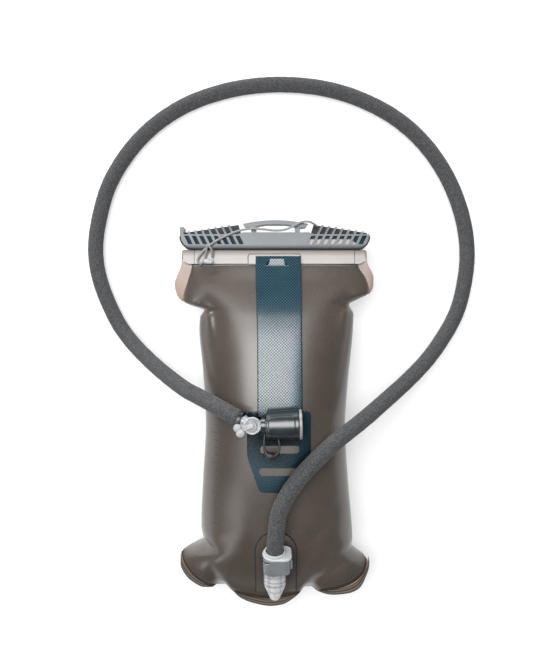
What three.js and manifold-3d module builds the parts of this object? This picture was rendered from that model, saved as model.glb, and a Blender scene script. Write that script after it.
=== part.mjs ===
// A drinking reservoir for hiking, lying on its back, filled, with its drink tube looped around it.
// Units are millimetres. +Z is up, +Y points to the closure bar, +X is the wearer's left.
// The origin is under the middle of the reservoir, on the surface that it lies on.

import * as THREE from 'three';
import { mergeVertices } from 'three/addons/utils/BufferGeometryUtils.js';
import Module from 'manifold-3d';

const wasm = await Module();
wasm.setup();

// ---------------------------------------------------------------- driving dimensions

const GAP = 0.3;                      // clearance between neighbouring pieces

const BAG_TOP_Y = 146.4;              // where the film meets the folded rail
const BAG_EDGE = 1.0;                 // thickness of each film panel's welded edge
const WELD_Z = 30;                    // height of the bottom weld
const WELD_THICKNESS = 1.6;
const MOUTH_Z = 44;                   // height of the side flanges at the mouth
const MOUTH_THICKNESS = 1.2;

const RAIL = { left: -76, right: 76.5, bottom: BAG_TOP_Y + GAP, top: 160, low: 41.6, high: 49 };
const RAIL_BEAD = { left: -84, right: 84, bottom: 164.2, top: 173.2, low: 41.2, high: 47.2 };
const RAIL_WEB = { low: 44, high: 46.4 };

const BAR = { left: -89.3, right: 90.6, bottom: 160.4, top: 176.2, low: 38, high: 52 };
const BAR_WALL = 1.8;
const BAR_CORNER = 12;                // radius of the front wall's lower corners
const WINDOW_PITCH = 6.9;
const WINDOW_WIDTH = 4.2;
const WINDOW_BOTTOM = 164.9;
const WINDOW_TOP = 172.9;
const WINDOWS_PER_SIDE = 8;
const WINDOW_LEAN = Math.tan(THREE.MathUtils.degToRad(26));
const LEFT_WINDOW = -81;              // middle of the outermost window on each side
const RIGHT_WINDOW = 83.8;
const HANDLE = { left: -29.7, right: 32.1, underside: 184.2, top: 188.3, low: 41, high: 49 };
const HANDLE_POSTS = [-19.4, 22.2];
const POST_WIDTH = 4.8;

const STRAP = { left: -15, right: 26, bottom: 5, top: 153.7, thickness: 1.2 };
const ANCHOR = { left: -25.3, right: 29, bottom: 145.5, top: 156.4, thickness: 0.8, corner: 3 };
const SKIN = 1.0;                     // thickness of the pieces welded on the film
const PLATE_LIFT = GAP + 0.2;         // plate above the film
const STRAP_LIFT = PLATE_LIFT + SKIN + GAP + 0.2;

const HOSE_D = 15;                    // over the insulating sleeve
const TUBE_D = 9.5;                   // bare drink tube
const TUBE_INSIDE = 6.7;
const SLEEVE_INSIDE = 11;
const HOSE_SIDES = 8;
const HOSE_STEPS = 44;

const PORT = { x: 1, y: -131, z: 82.4, tilt: 17, outside: 10.2, socket: 6.6, tip: -30.2 };
const COLLAR = { left: -10.4, right: 13.6, half: 9.4, length: 17.5, hoseDepth: 9 };
const O_RING = { wire: 0.85, middle: 5.35 };

const VALVE = { x: -18.5, y: -0.3, z: 96.2, turn: 1.5 };
const CAP = { start: 11.8, end: 40.5, leftR: 11.8, rightR: 13.2, inside: 10.3 };

const CORD_D = 2;                     // tether

// ---------------------------------------------------------------- materials

function plastic(color, roughness = 0.5) {
  return new THREE.MeshStandardMaterial({ color, roughness, metalness: 0 });
}

const FILM = plastic(0x6e645c, 0.35);
const FLANGE = plastic(0xc9a794, 0.4);
const RAIL_WHITE = plastic(0xe1d9d4, 0.45);
const BAR_GREY = plastic(0x70787e, 0.45);
const TEAL = plastic(0x325a6e, 0.5);
const STRAP_BLUE = plastic(0x3c5569, 0.55);
const CLEAR = plastic(0xdfe5e8, 0.15);
const COLLAR_GREY = plastic(0xa9b1b6, 0.5);
const FOAM = plastic(0x545456, 0.9);
const BLACK = plastic(0x232a2d, 0.2);
const CORD_GREY = plastic(0xafb2b6, 0.7);
const SEAL = plastic(0x2a2a2c, 0.7);
const SILICONE = plastic(0x9fb4c0, 0.35);
const STEEL = new THREE.MeshStandardMaterial({ color: 0xb8bcc0, roughness: 0.3, metalness: 1 });

// ---------------------------------------------------------------- shared helpers

// A smooth curve through [t, value] pairs, used for outlines and crowns.
function smooth(points, t) {
  const last = points.length - 1;
  if (t <= points[0][0]) return points[0][1];
  if (t >= points[last][0]) return points[last][1];
  let i = 0;
  while (t > points[i + 1][0]) i += 1;
  const slope = (k) => {
    if (k === 0 || k === last) return 0;
    const before = (points[k][1] - points[k - 1][1]) / (points[k][0] - points[k - 1][0]);
    const after = (points[k + 1][1] - points[k][1]) / (points[k + 1][0] - points[k][0]);
    return before * after > 0 ? (2 * before * after) / (before + after) : 0;
  };
  const width = points[i + 1][0] - points[i][0];
  const s = (t - points[i][0]) / width;
  const rise = points[i + 1][1] - points[i][1];
  const a = slope(i) * width;
  const b = slope(i + 1) * width;
  return points[i][1] + a * s + (3 * rise - 2 * a - b) * s * s + (a + b - 2 * rise) * s * s * s;
}

function toSolid(geometry) {
  const bare = geometry.clone();
  bare.deleteAttribute('normal');
  bare.deleteAttribute('uv');
  const merged = mergeVertices(bare, 1e-4);
  return new wasm.Manifold(new wasm.Mesh({
    numProp: 3,
    vertProperties: new Float32Array(merged.attributes.position.array),
    triVerts: new Uint32Array(merged.index.array),
  }));
}

function toGeometry(solid) {
  const mesh = solid.getMesh();
  const geometry = new THREE.BufferGeometry();
  geometry.setAttribute('position', new THREE.BufferAttribute(new Float32Array(mesh.vertProperties), 3));
  geometry.setIndex(new THREE.BufferAttribute(new Uint32Array(mesh.triVerts), 1));
  return geometry;
}

function joined(...geometries) {
  return toGeometry(geometries.map(toSolid).reduce((sum, one) => sum.add(one)));
}

function cut(body, ...tools) {
  return toGeometry(tools.map(toSolid).reduce((left, tool) => left.subtract(tool), toSolid(body)));
}

function common(a, b) {
  return toGeometry(toSolid(a).intersect(toSolid(b)));
}

function box(x0, x1, y0, y1, z0, z1) {
  const geometry = new THREE.BoxGeometry(x1 - x0, y1 - y0, z1 - z0);
  return geometry.translate((x0 + x1) / 2, (y0 + y1) / 2, (z0 + z1) / 2);
}

// An outline in the XY plane, raised from z0 to z1.
function plate(shape, z0, z1, curveSegments = 6) {
  const options = { depth: z1 - z0, bevelEnabled: false, curveSegments };
  return new THREE.ExtrudeGeometry(shape, options).translate(0, 0, z0);
}

function polygon(points) {
  return new THREE.Shape(points.map(([x, y]) => new THREE.Vector2(x, y)));
}

function roundedRect(x0, x1, y0, y1, r) {
  const shape = new THREE.Shape();
  shape.moveTo(x0 + r, y0);
  shape.lineTo(x1 - r, y0);
  shape.absarc(x1 - r, y0 + r, r, -Math.PI / 2, 0);
  shape.lineTo(x1, y1 - r);
  shape.absarc(x1 - r, y1 - r, r, 0, Math.PI / 2);
  shape.lineTo(x0 + r, y1);
  shape.absarc(x0 + r, y1 - r, r, Math.PI / 2, Math.PI);
  shape.lineTo(x0, y0 + r);
  shape.absarc(x0 + r, y0 + r, r, Math.PI, 1.5 * Math.PI);
  return shape;
}

// A turned piece about the Y axis, from [radius, y] pairs listed upwards on the outside.
function turned(profile, sides = 24) {
  const points = profile.map(([r, y]) => new THREE.Vector2(r, y));
  return new THREE.LatheGeometry(points, sides);
}

// A ring with a bore: outside radius, inside radius, and its two ends along Y.
function sleeve(outside, inside, y0, y1, sides = 24) {
  return turned([[inside, y0], [outside, y0], [outside, y1], [inside, y1], [inside, y0]], sides);
}

function rod(radius, y0, y1, sides = 24) {
  return turned([[0, y0], [radius, y0], [radius, y1], [0, y1]], sides);
}

function torus(middle, wire, y, sides = 20) {
  const round = (k) => [
    middle - wire * Math.cos((k * Math.PI) / 3),
    y - wire * Math.sin((k * Math.PI) / 3),
  ];
  return turned(Array.from({ length: 7 }, (_, k) => round(k % 6)), sides);
}

// A tube of regular section along a curve; a bore radius above zero makes it hollow.
function tubeAlong(curve, radius, steps, sides = 8, bore = 0) {
  const ring = (r) => Array.from({ length: sides }, (_, k) => {
    const angle = (2 * Math.PI * k) / sides;
    return new THREE.Vector2(r * Math.cos(angle), r * Math.sin(angle));
  });
  const shape = new THREE.Shape(ring(radius));
  if (bore > 0) shape.holes.push(new THREE.Path(ring(bore)));
  return new THREE.ExtrudeGeometry(shape, { steps, bevelEnabled: false, extrudePath: curve });
}

// A compression spring along Y between two heights.
function coil(radius, wire, y0, y1, turns) {
  const points = [];
  const count = turns * 12;
  for (let k = 0; k <= count; k += 1) {
    const angle = (2 * Math.PI * turns * k) / count;
    const y = THREE.MathUtils.lerp(y0 + wire, y1 - wire, k / count);
    points.push(new THREE.Vector3(radius * Math.cos(angle), y, radius * Math.sin(angle)));
  }
  return tubeAlong(new THREE.CatmullRomCurve3(points), wire, count, 6);
}

// ---------------------------------------------------------------- the filled film bag

// Plan outline: left and right edges as x against y, and the lobed bottom edge as y against x.
const LEFT_EDGE = [
  [-190, -92], [-134, -91], [-129.5, -86], [-124.5, -73], [-121, -66.5], [-115, -69.5], [-105, -71],
  [-60, -69], [-5, -66.2], [45, -69], [84, -72.3], [96, -71.5], [103.5, -67.5], [107, -79],
  [112, -87.5], [117, -87], [129, -83.5], [146.4, -79],
];
const RIGHT_EDGE = [
  [-190, 93], [-146, 92.5], [-138, 89], [-131, 80], [-125.5, 75.3], [-118, 76.4], [-110, 76],
  [-56, 71.2], [-7, 68.6], [32, 71.2], [86, 76.2], [99, 76.5], [108.5, 72], [113, 80],
  [119.5, 91], [123, 90.9], [133, 87.9], [146.4, 80.5],
];
const BOTTOM_EDGE = [
  [-92, -134], [-87, -144], [-79, -153], [-70, -160.5], [-61, -164.8], [-54, -161.6], [-47, -161.6],
  [-39, -170], [-25, -175.3], [-6, -178], [12, -175.8], [23, -172], [30, -164.4], [36, -164.4],
  [44, -169.6], [56, -168.6], [68, -165.5], [80, -159.5], [88, -150], [92.5, -138],
];
// Height of the weld between the two panels, of the front crown and of the back crown, against y.
const SEAM_HEIGHT = [[-185, WELD_Z], [-120, 32], [-60, 36], [60, 37], [104, 41.5], [120, 44], [146, 45]];
const FRONT_CROWN = [
  [-178, 31], [-165, 50], [-140, 66], [-100, 75], [-50, 78.5], [10, 79], [60, 76], [95, 69.5],
  [125, 59], [146, 48.4],
];
const BACK_CROWN = [
  [-178, 29], [-165, 10], [-145, -3], [-110, -8], [60, -8], [92, -2], [120, 17], [146, 41],
];

function bagCoordinates(x, y) {
  const left = smooth(LEFT_EDGE, y);
  const right = smooth(RIGHT_EDGE, y);
  const bottom = smooth(BOTTOM_EDGE, x);
  return { across: (x - left) / (right - left), up: y - bottom };
}

// 1 over the middle of the bag, falling to 0 at its edges; a larger power makes a flatter middle.
function fullness(x, y, power, rim) {
  const { across, up } = bagCoordinates(x, y);
  const side = Math.min(1, Math.abs(2 * across - 1));
  const end = Math.min(1, Math.max(0, up / rim));
  return Math.pow(1 - Math.pow(side, power), 0.55) * Math.pow(end * (2 - end), 0.6);
}

function frontHeight(x, y) {
  const seam = smooth(SEAM_HEIGHT, y) + GAP / 2 + BAG_EDGE;
  const crown = Math.max(smooth(FRONT_CROWN, y), seam);
  return seam + (crown - seam) * fullness(x, y, 2.5, 40);
}

function backHeight(x, y) {
  const seam = smooth(SEAM_HEIGHT, y) - GAP / 2 - BAG_EDGE;
  const crown = Math.min(smooth(BACK_CROWN, y), seam);
  return Math.max(0, seam - (seam - crown) * fullness(x, y, 4, 40));
}

// Plan position of a grid point: u runs across the bag, v from the lobed edge to the mouth.
function bagPoint(u, v) {
  let x = 0;
  let y = 0;
  for (let pass = 0; pass < 12; pass += 1) {
    y = THREE.MathUtils.lerp(smooth(BOTTOM_EDGE, x), BAG_TOP_Y, v);
    x = THREE.MathUtils.lerp(smooth(LEFT_EDGE, y), smooth(RIGHT_EDGE, y), u);
  }
  return [x, y];
}

function evenly(count) {
  return Array.from({ length: count + 1 }, (_, k) => k / count);
}

// A closed slab over a grid of u and v values, between two height functions.
function slab(us, vs, place, low, high) {
  const position = [];
  const index = [];
  const columns = us.length - 1;
  const rows = vs.length - 1;
  const stride = columns + 1;
  const layer = stride * (rows + 1);
  for (const height of [low, high]) {
    for (const v of vs) {
      for (const u of us) {
        const [x, y] = place(u, v);
        position.push(x, y, height(x, y));
      }
    }
  }
  const quad = (a, b, c, d) => index.push(a, b, c, a, c, d);
  for (let j = 0; j < rows; j += 1) {
    for (let i = 0; i < columns; i += 1) {
      const a = j * stride + i;
      quad(a, a + stride, a + stride + 1, a + 1);
      quad(layer + a, layer + a + 1, layer + a + stride + 1, layer + a + stride);
    }
  }
  for (let i = 0; i < columns; i += 1) {
    const top = rows * stride + i;
    quad(i, i + 1, layer + i + 1, layer + i);
    quad(top + 1, top, layer + top, layer + top + 1);
  }
  for (let j = 0; j < rows; j += 1) {
    const start = j * stride;
    const end = start + columns;
    quad(start + stride, start, layer + start, layer + start + stride);
    quad(end, end + stride, layer + end + stride, layer + end);
  }
  const geometry = new THREE.BufferGeometry();
  geometry.setAttribute('position', new THREE.Float32BufferAttribute(position, 3));
  geometry.setIndex(index);
  return geometry;
}

// Grid lines of the filled halves: across, at the lobes' tips and troughs; and up, at the pinches.
const BAG_COLUMNS = [-91, -82, -71, -61, -51, -39, -20, -5, 8, 23, 33, 44, 60, 74, 85, 92.5]
  .map((x) => (x + 91) / 183.5);
const BAG_ROWS = [
  0, 0.03, 0.07, 0.11, 0.14, 0.17, 0.25, 0.35, 0.46, 0.57, 0.68, 0.77, 0.82, 0.85, 0.87, 0.89,
  0.92, 0.96, 1,
];

function frontPanel() {
  const seam = (x, y) => smooth(SEAM_HEIGHT, y) + GAP / 2;
  return slab(BAG_COLUMNS, BAG_ROWS, bagPoint, seam, frontHeight);
}

function backPanel() {
  const seam = (x, y) => smooth(SEAM_HEIGHT, y) - GAP / 2;
  return slab(BAG_COLUMNS, BAG_ROWS, bagPoint, backHeight, seam);
}

// A thin piece that follows the front of the bag inside an outline.
function drapedPlate(shape, lift, thickness, pitch = 9) {
  const outline = new THREE.Box2().setFromPoints(shape.getPoints(6));
  const columns = Math.ceil((outline.max.x - outline.min.x) / pitch);
  const rows = Math.ceil((outline.max.y - outline.min.y) / pitch);
  const place = (u, v) => [
    THREE.MathUtils.lerp(outline.min.x - 0.5, outline.max.x + 0.5, u),
    THREE.MathUtils.lerp(outline.min.y - 0.5, outline.max.y + 0.5, v),
  ];
  const low = (x, y) => frontHeight(x, Math.min(y, BAG_TOP_Y)) + lift;
  const high = (x, y) => low(x, y) + thickness;
  return common(slab(evenly(columns), evenly(rows), place, low, high), plate(shape, 0, 150));
}

// The wide weld that closes the bottom, outside the panels' lobed edge.
function bottomWeld() {
  const outer = [
    [-92.4, -138], [-92.8, -143], [-92, -151], [-87, -158.5], [-80, -165], [-70, -169.3],
    [-61.5, -168.8], [-55, -165.4], [-47, -165.6], [-40, -173.4], [-33.9, -179.5], [-21, -185.5],
    [-5.5, -188.2], [8, -186], [17, -181], [24, -175.5], [30.5, -168.4], [36, -168.4], [43, -173.6],
    [56.9, -177.5], [73.3, -175.3], [84, -169.5], [89.5, -160], [93.4, -148], [93.8, -142],
  ];
  const inner = BAG_COLUMNS.slice(1, -1).map((u) => bagPoint(u, 0)).map(([x, y]) => [x, y - 3 * GAP]);
  return plate(polygon([...outer, ...inner.reverse()]), WELD_Z - 0.8, WELD_Z - 0.8 + WELD_THICKNESS);
}

// The film's side flange at the mouth, from the panels' edge out to its own rounded edge.
function mouthFlange(edge, outer, side) {
  const inner = edge.filter(([y]) => y >= 117 && y <= BAG_TOP_Y).map(([y, x]) => [x + side * 5 * GAP, y]);
  return plate(polygon([...outer, ...inner]), MOUTH_Z, MOUTH_Z + MOUTH_THICKNESS);
}

// ---------------------------------------------------------------- closure rail and slide bar

function closureRail() {
  const strip = box(RAIL.left, RAIL.right, RAIL.bottom, RAIL.top, RAIL.low, RAIL.high);
  const web = box(
    RAIL.left, RAIL.right, RAIL.top - 1, RAIL_BEAD.bottom + 1, RAIL_WEB.low, RAIL_WEB.high);
  const bead = box(
    RAIL_BEAD.left, RAIL_BEAD.right, RAIL_BEAD.bottom, RAIL_BEAD.top, RAIL_BEAD.low, RAIL_BEAD.high);
  return joined(strip, web, bead);
}

function railEndTab(inner, outer) {
  const side = Math.sign(outer);
  const shape = new THREE.Shape();
  shape.moveTo(inner, RAIL.bottom);
  shape.lineTo(outer - side * 6, RAIL.bottom);
  shape.quadraticCurveTo(outer, RAIL.bottom + 1, outer, RAIL.bottom + 7);
  shape.lineTo(outer, RAIL.top);
  shape.lineTo(inner, RAIL.top);
  return plate(shape, RAIL.low + 1.4, RAIL.high - 0.4);
}

// Slanted prism for one window: leans towards the middle of the bar going up.
function slanted(x, width, y0, y1, lean, z0, z1) {
  const middle = (y0 + y1) / 2;
  const at = (y) => x + (y - middle) * lean;
  const half = width / 2;
  const corners = [
    [at(y0) - half, y0], [at(y0) + half, y0], [at(y1) + half, y1], [at(y1) - half, y1],
  ];
  return plate(polygon(corners), z0, z1);
}

// Middles of the windows on both sides, or of the ribs between them with an offset of half a pitch.
function comb(offset, count) {
  const places = [];
  for (let k = 0; k < count; k += 1) {
    const step = k * WINDOW_PITCH + offset;
    places.push({ x: LEFT_WINDOW + step, lean: -WINDOW_LEAN });
    places.push({ x: RIGHT_WINDOW - step, lean: WINDOW_LEAN });
  }
  return places;
}

// Height of the rear wing's top edge against x.
const WING_EDGE = { outer: 177.4, inner: 185.3, leftInner: -34.5, rightInner: 38 };

function wingTop(x) {
  const left = x < 0;
  const outer = left ? BAR.left : BAR.right;
  const inner = left ? WING_EDGE.leftInner : WING_EDGE.rightInner;
  return THREE.MathUtils.lerp(WING_EDGE.outer, WING_EDGE.inner, (x - outer) / (inner - outer));
}

function rearWing(side) {
  const outer = side < 0 ? BAR.left + 1 : BAR.right - 1;
  const inner = side < 0 ? WING_EDGE.leftInner : WING_EDGE.rightInner;
  const foot = side < 0 ? inner + 4 : inner - 4;
  const corners = [
    [outer, BAR.top - 4], [foot, BAR.top - 4], [inner, wingTop(inner)], [outer, wingTop(outer)],
  ];
  return plate(polygon(corners), BAR.low, BAR.low + 2.2);
}

// Ribs from the front wall's top edge down to the rear wing, in line with the window ribs.
function wingRib(x, lean) {
  const y0 = WINDOW_TOP + 1;
  const y1 = wingTop(x) - 0.4;
  const shift = lean * ((y0 + y1) / 2 - (WINDOW_BOTTOM + WINDOW_TOP) / 2);
  const tall = slanted(x + shift, 2.2, y0, y1, lean, BAR.low + 1, BAR.high - 1);
  const slope = new THREE.Shape([
    new THREE.Vector2(y0 - 1, BAR.low), new THREE.Vector2(y1 + 1, BAR.low),
    new THREE.Vector2(y1 + 1, BAR.low + 3), new THREE.Vector2(BAR.top, BAR.high - 1),
    new THREE.Vector2(y0 - 1, BAR.high - 1),
  ]);
  const wedge = new THREE.ExtrudeGeometry(slope, { depth: 40, bevelEnabled: false });
  wedge.rotateY(Math.PI / 2).rotateX(Math.PI / 2);
  wedge.translate(x - 20, 0, 0);
  return common(tall, wedge);
}

function slideBar() {
  const front = new THREE.Shape();
  front.moveTo(BAR.left + BAR_CORNER, BAR.bottom);
  front.lineTo(BAR.right - BAR_CORNER, BAR.bottom);
  front.quadraticCurveTo(BAR.right, BAR.bottom, BAR.right, BAR.bottom + BAR_CORNER);
  front.lineTo(BAR.right, BAR.top - 1.8);
  front.lineTo(WING_EDGE.rightInner, BAR.top - 1.8);
  front.lineTo(WING_EDGE.rightInner - 5, BAR.top);
  front.lineTo(WING_EDGE.leftInner + 5, BAR.top);
  front.lineTo(WING_EDGE.leftInner, BAR.top - 1.8);
  front.lineTo(BAR.left, BAR.top - 1.8);
  front.lineTo(BAR.left, BAR.bottom + BAR_CORNER);
  front.quadraticCurveTo(BAR.left, BAR.bottom, BAR.left + BAR_CORNER, BAR.bottom);

  const stop = box(BAR.left, BAR.left + 3.6, BAR.top - 6, 181.2, BAR.low, BAR.high);
  const posts = HANDLE_POSTS.map((x) => box(
    x - POST_WIDTH / 2, x + POST_WIDTH / 2, BAR.top - 1, HANDLE.underside + 1,
    HANDLE.low + 1, HANDLE.high - 1));
  const arch = new THREE.Shape();
  arch.moveTo(HANDLE.left, HANDLE.underside + 0.6);
  arch.lineTo(HANDLE.left + 2.4, HANDLE.underside - 2.6);
  arch.lineTo(HANDLE.left + 9, HANDLE.underside - 3.3);
  arch.quadraticCurveTo(HANDLE.left + 15, HANDLE.underside - 0.6, HANDLE.left + 22, HANDLE.underside);
  arch.lineTo(HANDLE.right - 22, HANDLE.underside);
  arch.quadraticCurveTo(
    HANDLE.right - 15, HANDLE.underside - 0.6, HANDLE.right - 9, HANDLE.underside - 3.3);
  arch.lineTo(HANDLE.right - 2.4, HANDLE.underside - 2.6);
  arch.lineTo(HANDLE.right, HANDLE.underside + 0.6);
  arch.quadraticCurveTo(
    (HANDLE.left + HANDLE.right) / 2, HANDLE.top + 3.5, HANDLE.left, HANDLE.underside + 0.6);
  const arm = plate(arch, HANDLE.low, HANDLE.high, 12);

  const ribs = comb(WINDOW_PITCH / 2, WINDOWS_PER_SIDE - 1).map(({ x, lean }) => wingRib(x, lean));
  const wall = plate(front, BAR.low, BAR.high);
  const body = joined(wall, stop, rearWing(-1), rearWing(1), ...posts, arm, ...ribs);

  const channel = box(
    RAIL_BEAD.left - 1, BAR.right + 5, RAIL_BEAD.bottom - 0.5, RAIL_BEAD.top + 0.5,
    BAR.low + BAR_WALL, BAR.high - BAR_WALL);
  const slot = box(
    RAIL_BEAD.left - 1, BAR.right + 5, BAR.bottom - 5, RAIL_BEAD.bottom,
    RAIL_WEB.low - 0.6, RAIL_WEB.high + 0.6);
  const windows = comb(0, WINDOWS_PER_SIDE).map(({ x, lean }) => slanted(
    x, WINDOW_WIDTH, WINDOW_BOTTOM, WINDOW_TOP, lean, BAR.high - BAR_WALL - 1, BAR.high + 1));
  return cut(body, channel, slot, ...windows);
}

// Coloured wear strip behind the front wall; it is cut back on the right, where the rail shows.
function slideBarLiner() {
  const high = BAR.high - BAR_WALL - GAP;
  const outline = polygon([
    [RAIL_BEAD.left, 164.3], [29, 164.3], [34, 170.6], [74, 170.6], [80, 164.3], [86, 164.3],
    [86, 173.2], [RAIL_BEAD.left, 173.2],
  ]);
  return plate(outline, high - 1.6, high);
}

// ---------------------------------------------------------------- tether cord

const TETHER_ROUTE = [
  [41, 183.2, 45], [37.5, 184.6, 50.5], [33, 186, 53.4], [26, 185.6, 53.6], [19, 182.2, 53.2],
  [11, 178.8, 53.6], [2, 177.6, 53.8], [-10, 178.8, 53.6], [-22, 179.4, 53.4], [-32, 177.6, 54],
  [-42, 174, 54.2], [-54, 168, 54.4], [-62, 162.4, 54.6], [-68.5, 156.5, 53.2], [-72.5, 149.5, 51.4],
  [-70, 146.4, 51], [-66.6, 149.6, 51.2], [-64.4, 156, 53], [-62.2, 163.2, 56.9],
  [-58.8, 159.2, 55.6], [-58.4, 152.6, 51.6],
];

function tetherCord() {
  const points = TETHER_ROUTE.map(([x, y, z]) => new THREE.Vector3(x, y, z));
  return tubeAlong(new THREE.CatmullRomCurve3(points, false, 'centripetal'), CORD_D / 2, 50, 8);
}

function tetherBead() {
  return roundEnded(2.3, 9.6, 10).rotateZ(Math.PI / 2).translate(-62, 148.2, 54.6);
}

// A short bar with rounded ends along Y, centred on the origin.
function roundEnded(radius, length, sides) {
  const half = length / 2 - radius;
  const profile = [[0, -half - radius]];
  for (let k = 1; k < 4; k += 1) {
    const angle = (k * Math.PI) / 8;
    profile.push([radius * Math.sin(angle), -half - radius * Math.cos(angle)]);
  }
  profile.push([radius, -half], [radius, half]);
  for (let k = 3; k > 0; k -= 1) {
    const angle = (k * Math.PI) / 8;
    profile.push([radius * Math.sin(angle), half + radius * Math.cos(angle)]);
  }
  profile.push([0, half + radius]);
  return turned(profile, sides);
}

// ---------------------------------------------------------------- outlet port and plug (along local Y)

const portAxis = new THREE.Matrix4()
  .makeTranslation(PORT.x, PORT.y, PORT.z)
  .multiply(new THREE.Matrix4().makeRotationX(THREE.MathUtils.degToRad(PORT.tilt)));

// The port's foot is cut to the slope of the film it is welded on.
function portBody() {
  const shell = turned([
    [0, -20], [8.2, -20], [PORT.outside, -14.8], [PORT.outside, -9.4], [9.7, -9], [9.7, -8],
    [PORT.outside, -7.6], [PORT.outside, -GAP], [0, -GAP],
  ], 28);
  const foot = box(-6, 6, -19.8, -2, -31, 0);
  const socket = rod(PORT.socket, -12.4, 1);
  const seat = rod(4.4, -14, -12, 16);
  const chamber = rod(6.4, -21, -13.8);
  const outlet = new THREE.CylinderGeometry(2.6, 2.6, 34, 12).rotateX(Math.PI / 2).translate(0, -17, -18);
  const hollow = cut(joined(shell, foot), socket, seat, chamber, outlet).applyMatrix4(portAxis);
  const filmPlace = (u, v) => [PORT.x + 30 * (u - 0.5), PORT.y + 10 - 50 * (1 - v)];
  const filmTop = (x, y) => frontHeight(x, y) + PLATE_LIFT + SKIN + GAP;
  return cut(hollow, slab(evenly(6), evenly(10), filmPlace, () => 10, filmTop));
}

function portEndCap() {
  const outside = turned([[0, PORT.tip], [4.4, PORT.tip], [8.1, -20 - GAP], [0, -20 - GAP]], 28);
  return cut(outside, rod(4.4, -26, -19, 16));
}

function portPoppet() {
  return joined(rod(5.7, -17.4, -16.2, 20), rod(1.4, -17, -10.7, 10), rod(2.6, -18.6, -17, 12));
}

function plugStem() {
  const outer = turned([
    [0, -10.5], [4.8, -10.5], [5.9, -9.4], [5.9, -8.6], [4.2, -8.6], [4.2, -6], [5.9, -6],
    [5.9, -4.8], [4.2, -4.8], [4.2, -2.2], [5.9, -2.2], [5.9, -GAP], [7.2, GAP], [7.2, 2],
    [3.4, 3], [3.4, COLLAR.hoseDepth], [2.9, COLLAR.hoseDepth + 0.6], [2.3, 21], [0, 21],
  ], 20);
  return cut(outer, rod(1.5, -18, 24, 10));
}

// Extrudes an outline, drawn in X and Z, along the port's axis.
function alongAxis(shape, y0, y1) {
  return plate(shape, -y1, -y0, 6).rotateX(Math.PI / 2);
}

function plugCollar() {
  const { left, right, half, length, hoseDepth } = COLLAR;
  const body = alongAxis(roundedRect(left, right, -half, half, 5.5), GAP, length - 2);
  const flange = new THREE.Shape();
  flange.moveTo(0, -half - 0.8);
  flange.lineTo(right - 4.4, -half - 0.8);
  flange.quadraticCurveTo(right + 1.3, -half + 1.6, right + 1.3, 0);
  flange.quadraticCurveTo(right + 1.3, half - 1.6, right - 4.4, half + 0.8);
  flange.lineTo(0, half + 0.8);
  flange.absarc(-0.8, 0, half + 0.8, Math.PI / 2, 1.5 * Math.PI);
  const stemRoom = rod(7.6, -1, 3.4);
  const bore = rod(3.7 + GAP, 2, hoseDepth + 1);
  const hoseRoom = rod(HOSE_D / 2 + 0.4, hoseDepth, length + 2);
  const pocket = box(9.2, 15, 3.4, length - 4, -5.2, 5.2);
  return cut(joined(body, alongAxis(flange, length - 2.4, length)), stemRoom, bore, hoseRoom, pocket);
}

function hoseLip() {
  return sleeve(9.4, HOSE_D / 2 + 0.7, COLLAR.length + GAP, COLLAR.length + 2.4);
}

function releaseButton() {
  return plate(roundedRect(11.2, 15.6, 3.9, COLLAR.length - 4.5, 1.2), -4.8, 4.8);
}

// ---------------------------------------------------------------- bite valve (along local X)


function alongX(geometry) {
  return geometry.rotateZ(-Math.PI / 2);
}

function upright(geometry) {
  return geometry.rotateX(Math.PI / 2);
}

const INLET_ANGLE = 152.5;
const INLET_DROP = 12;

// Points a piece made along Y out of the valve chamber, towards the hose.
function alongInlet(geometry) {
  return geometry.rotateX(THREE.MathUtils.degToRad(-INLET_DROP))
    .rotateZ(THREE.MathUtils.degToRad(INLET_ANGLE - 90));
}

function valveBody() {
  const chamber = upright(rod(7, -6.6, 5, 28));
  const inlet = alongInlet(turned([
    [0, 2], [5, 2], [5, 9.8], [3.4, 10.4], [3.4, 13.6], [2.7, 14.4], [2.2, 20], [0, 20],
  ], 20));
  const outlet = alongX(turned([[0, 2], [5, 2], [5, 7], [4.6, 7.3], [4.6, 19], [0, 19]], 20));
  const rotorRoom = upright(rod(5.4, -4.2, 6, 24));
  const inletBore = alongInlet(rod(1.5, 1, 25, 10));
  const outletBore = alongX(rod(2.4, 1, 21, 12));
  return cut(joined(chamber, inlet, outlet), rotorRoom, inletBore, outletBore);
}

function shutoffKnob() {
  const rotor = upright(turned([
    [0, -3.8], [5.05, -3.8], [5.05, 2.2], [3.7, 2.2], [3.7, 3.6], [5.05, 3.6], [5.05, 5.6], [0, 5.6],
  ], 20));
  const cap = upright(rod(6.6, 5.4, 6.8, 24));
  const boss = upright(rod(4.2, 6.6, 10, 16));
  const lobes = [[-13.1, 0.6], [-8.8, -4.8]].map(([x, y]) => {
    const lobe = new THREE.Shape();
    lobe.absarc(x, y, 3.4, 0, 2 * Math.PI);
    return plate(lobe, 8.8, 11.6, 8);
  });
  const arm = polygon([[1, 2.4], [-12.4, 2.2], [-13.8, -1], [-9.6, -5.4], [-3, -3.2], [1, -2.4]]);
  const flow = joined(alongInlet(rod(1.8, -1, 12, 10)), alongX(rod(1.8, -1, 12, 10)));
  return cut(joined(rotor, cap, boss, plate(arm, 8.8, 11), ...lobes), flow);
}

function valveNeck() {
  return alongX(sleeve(6.9, 4.6 + GAP, 7.6, 11.4));
}

function biteValve() {
  const bulb = turned([
    [0, 11.9], [6.6, 11.9], [6.6, 17], [7.4, 20], [9.2, 25], [9.2, 30], [6.5, 35.5], [0, 36.5],
  ]);
  return alongX(cut(bulb, rod(4.6 + GAP, 11, 19.4, 20), rod(1.2, 18, 38, 10)));
}

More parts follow.
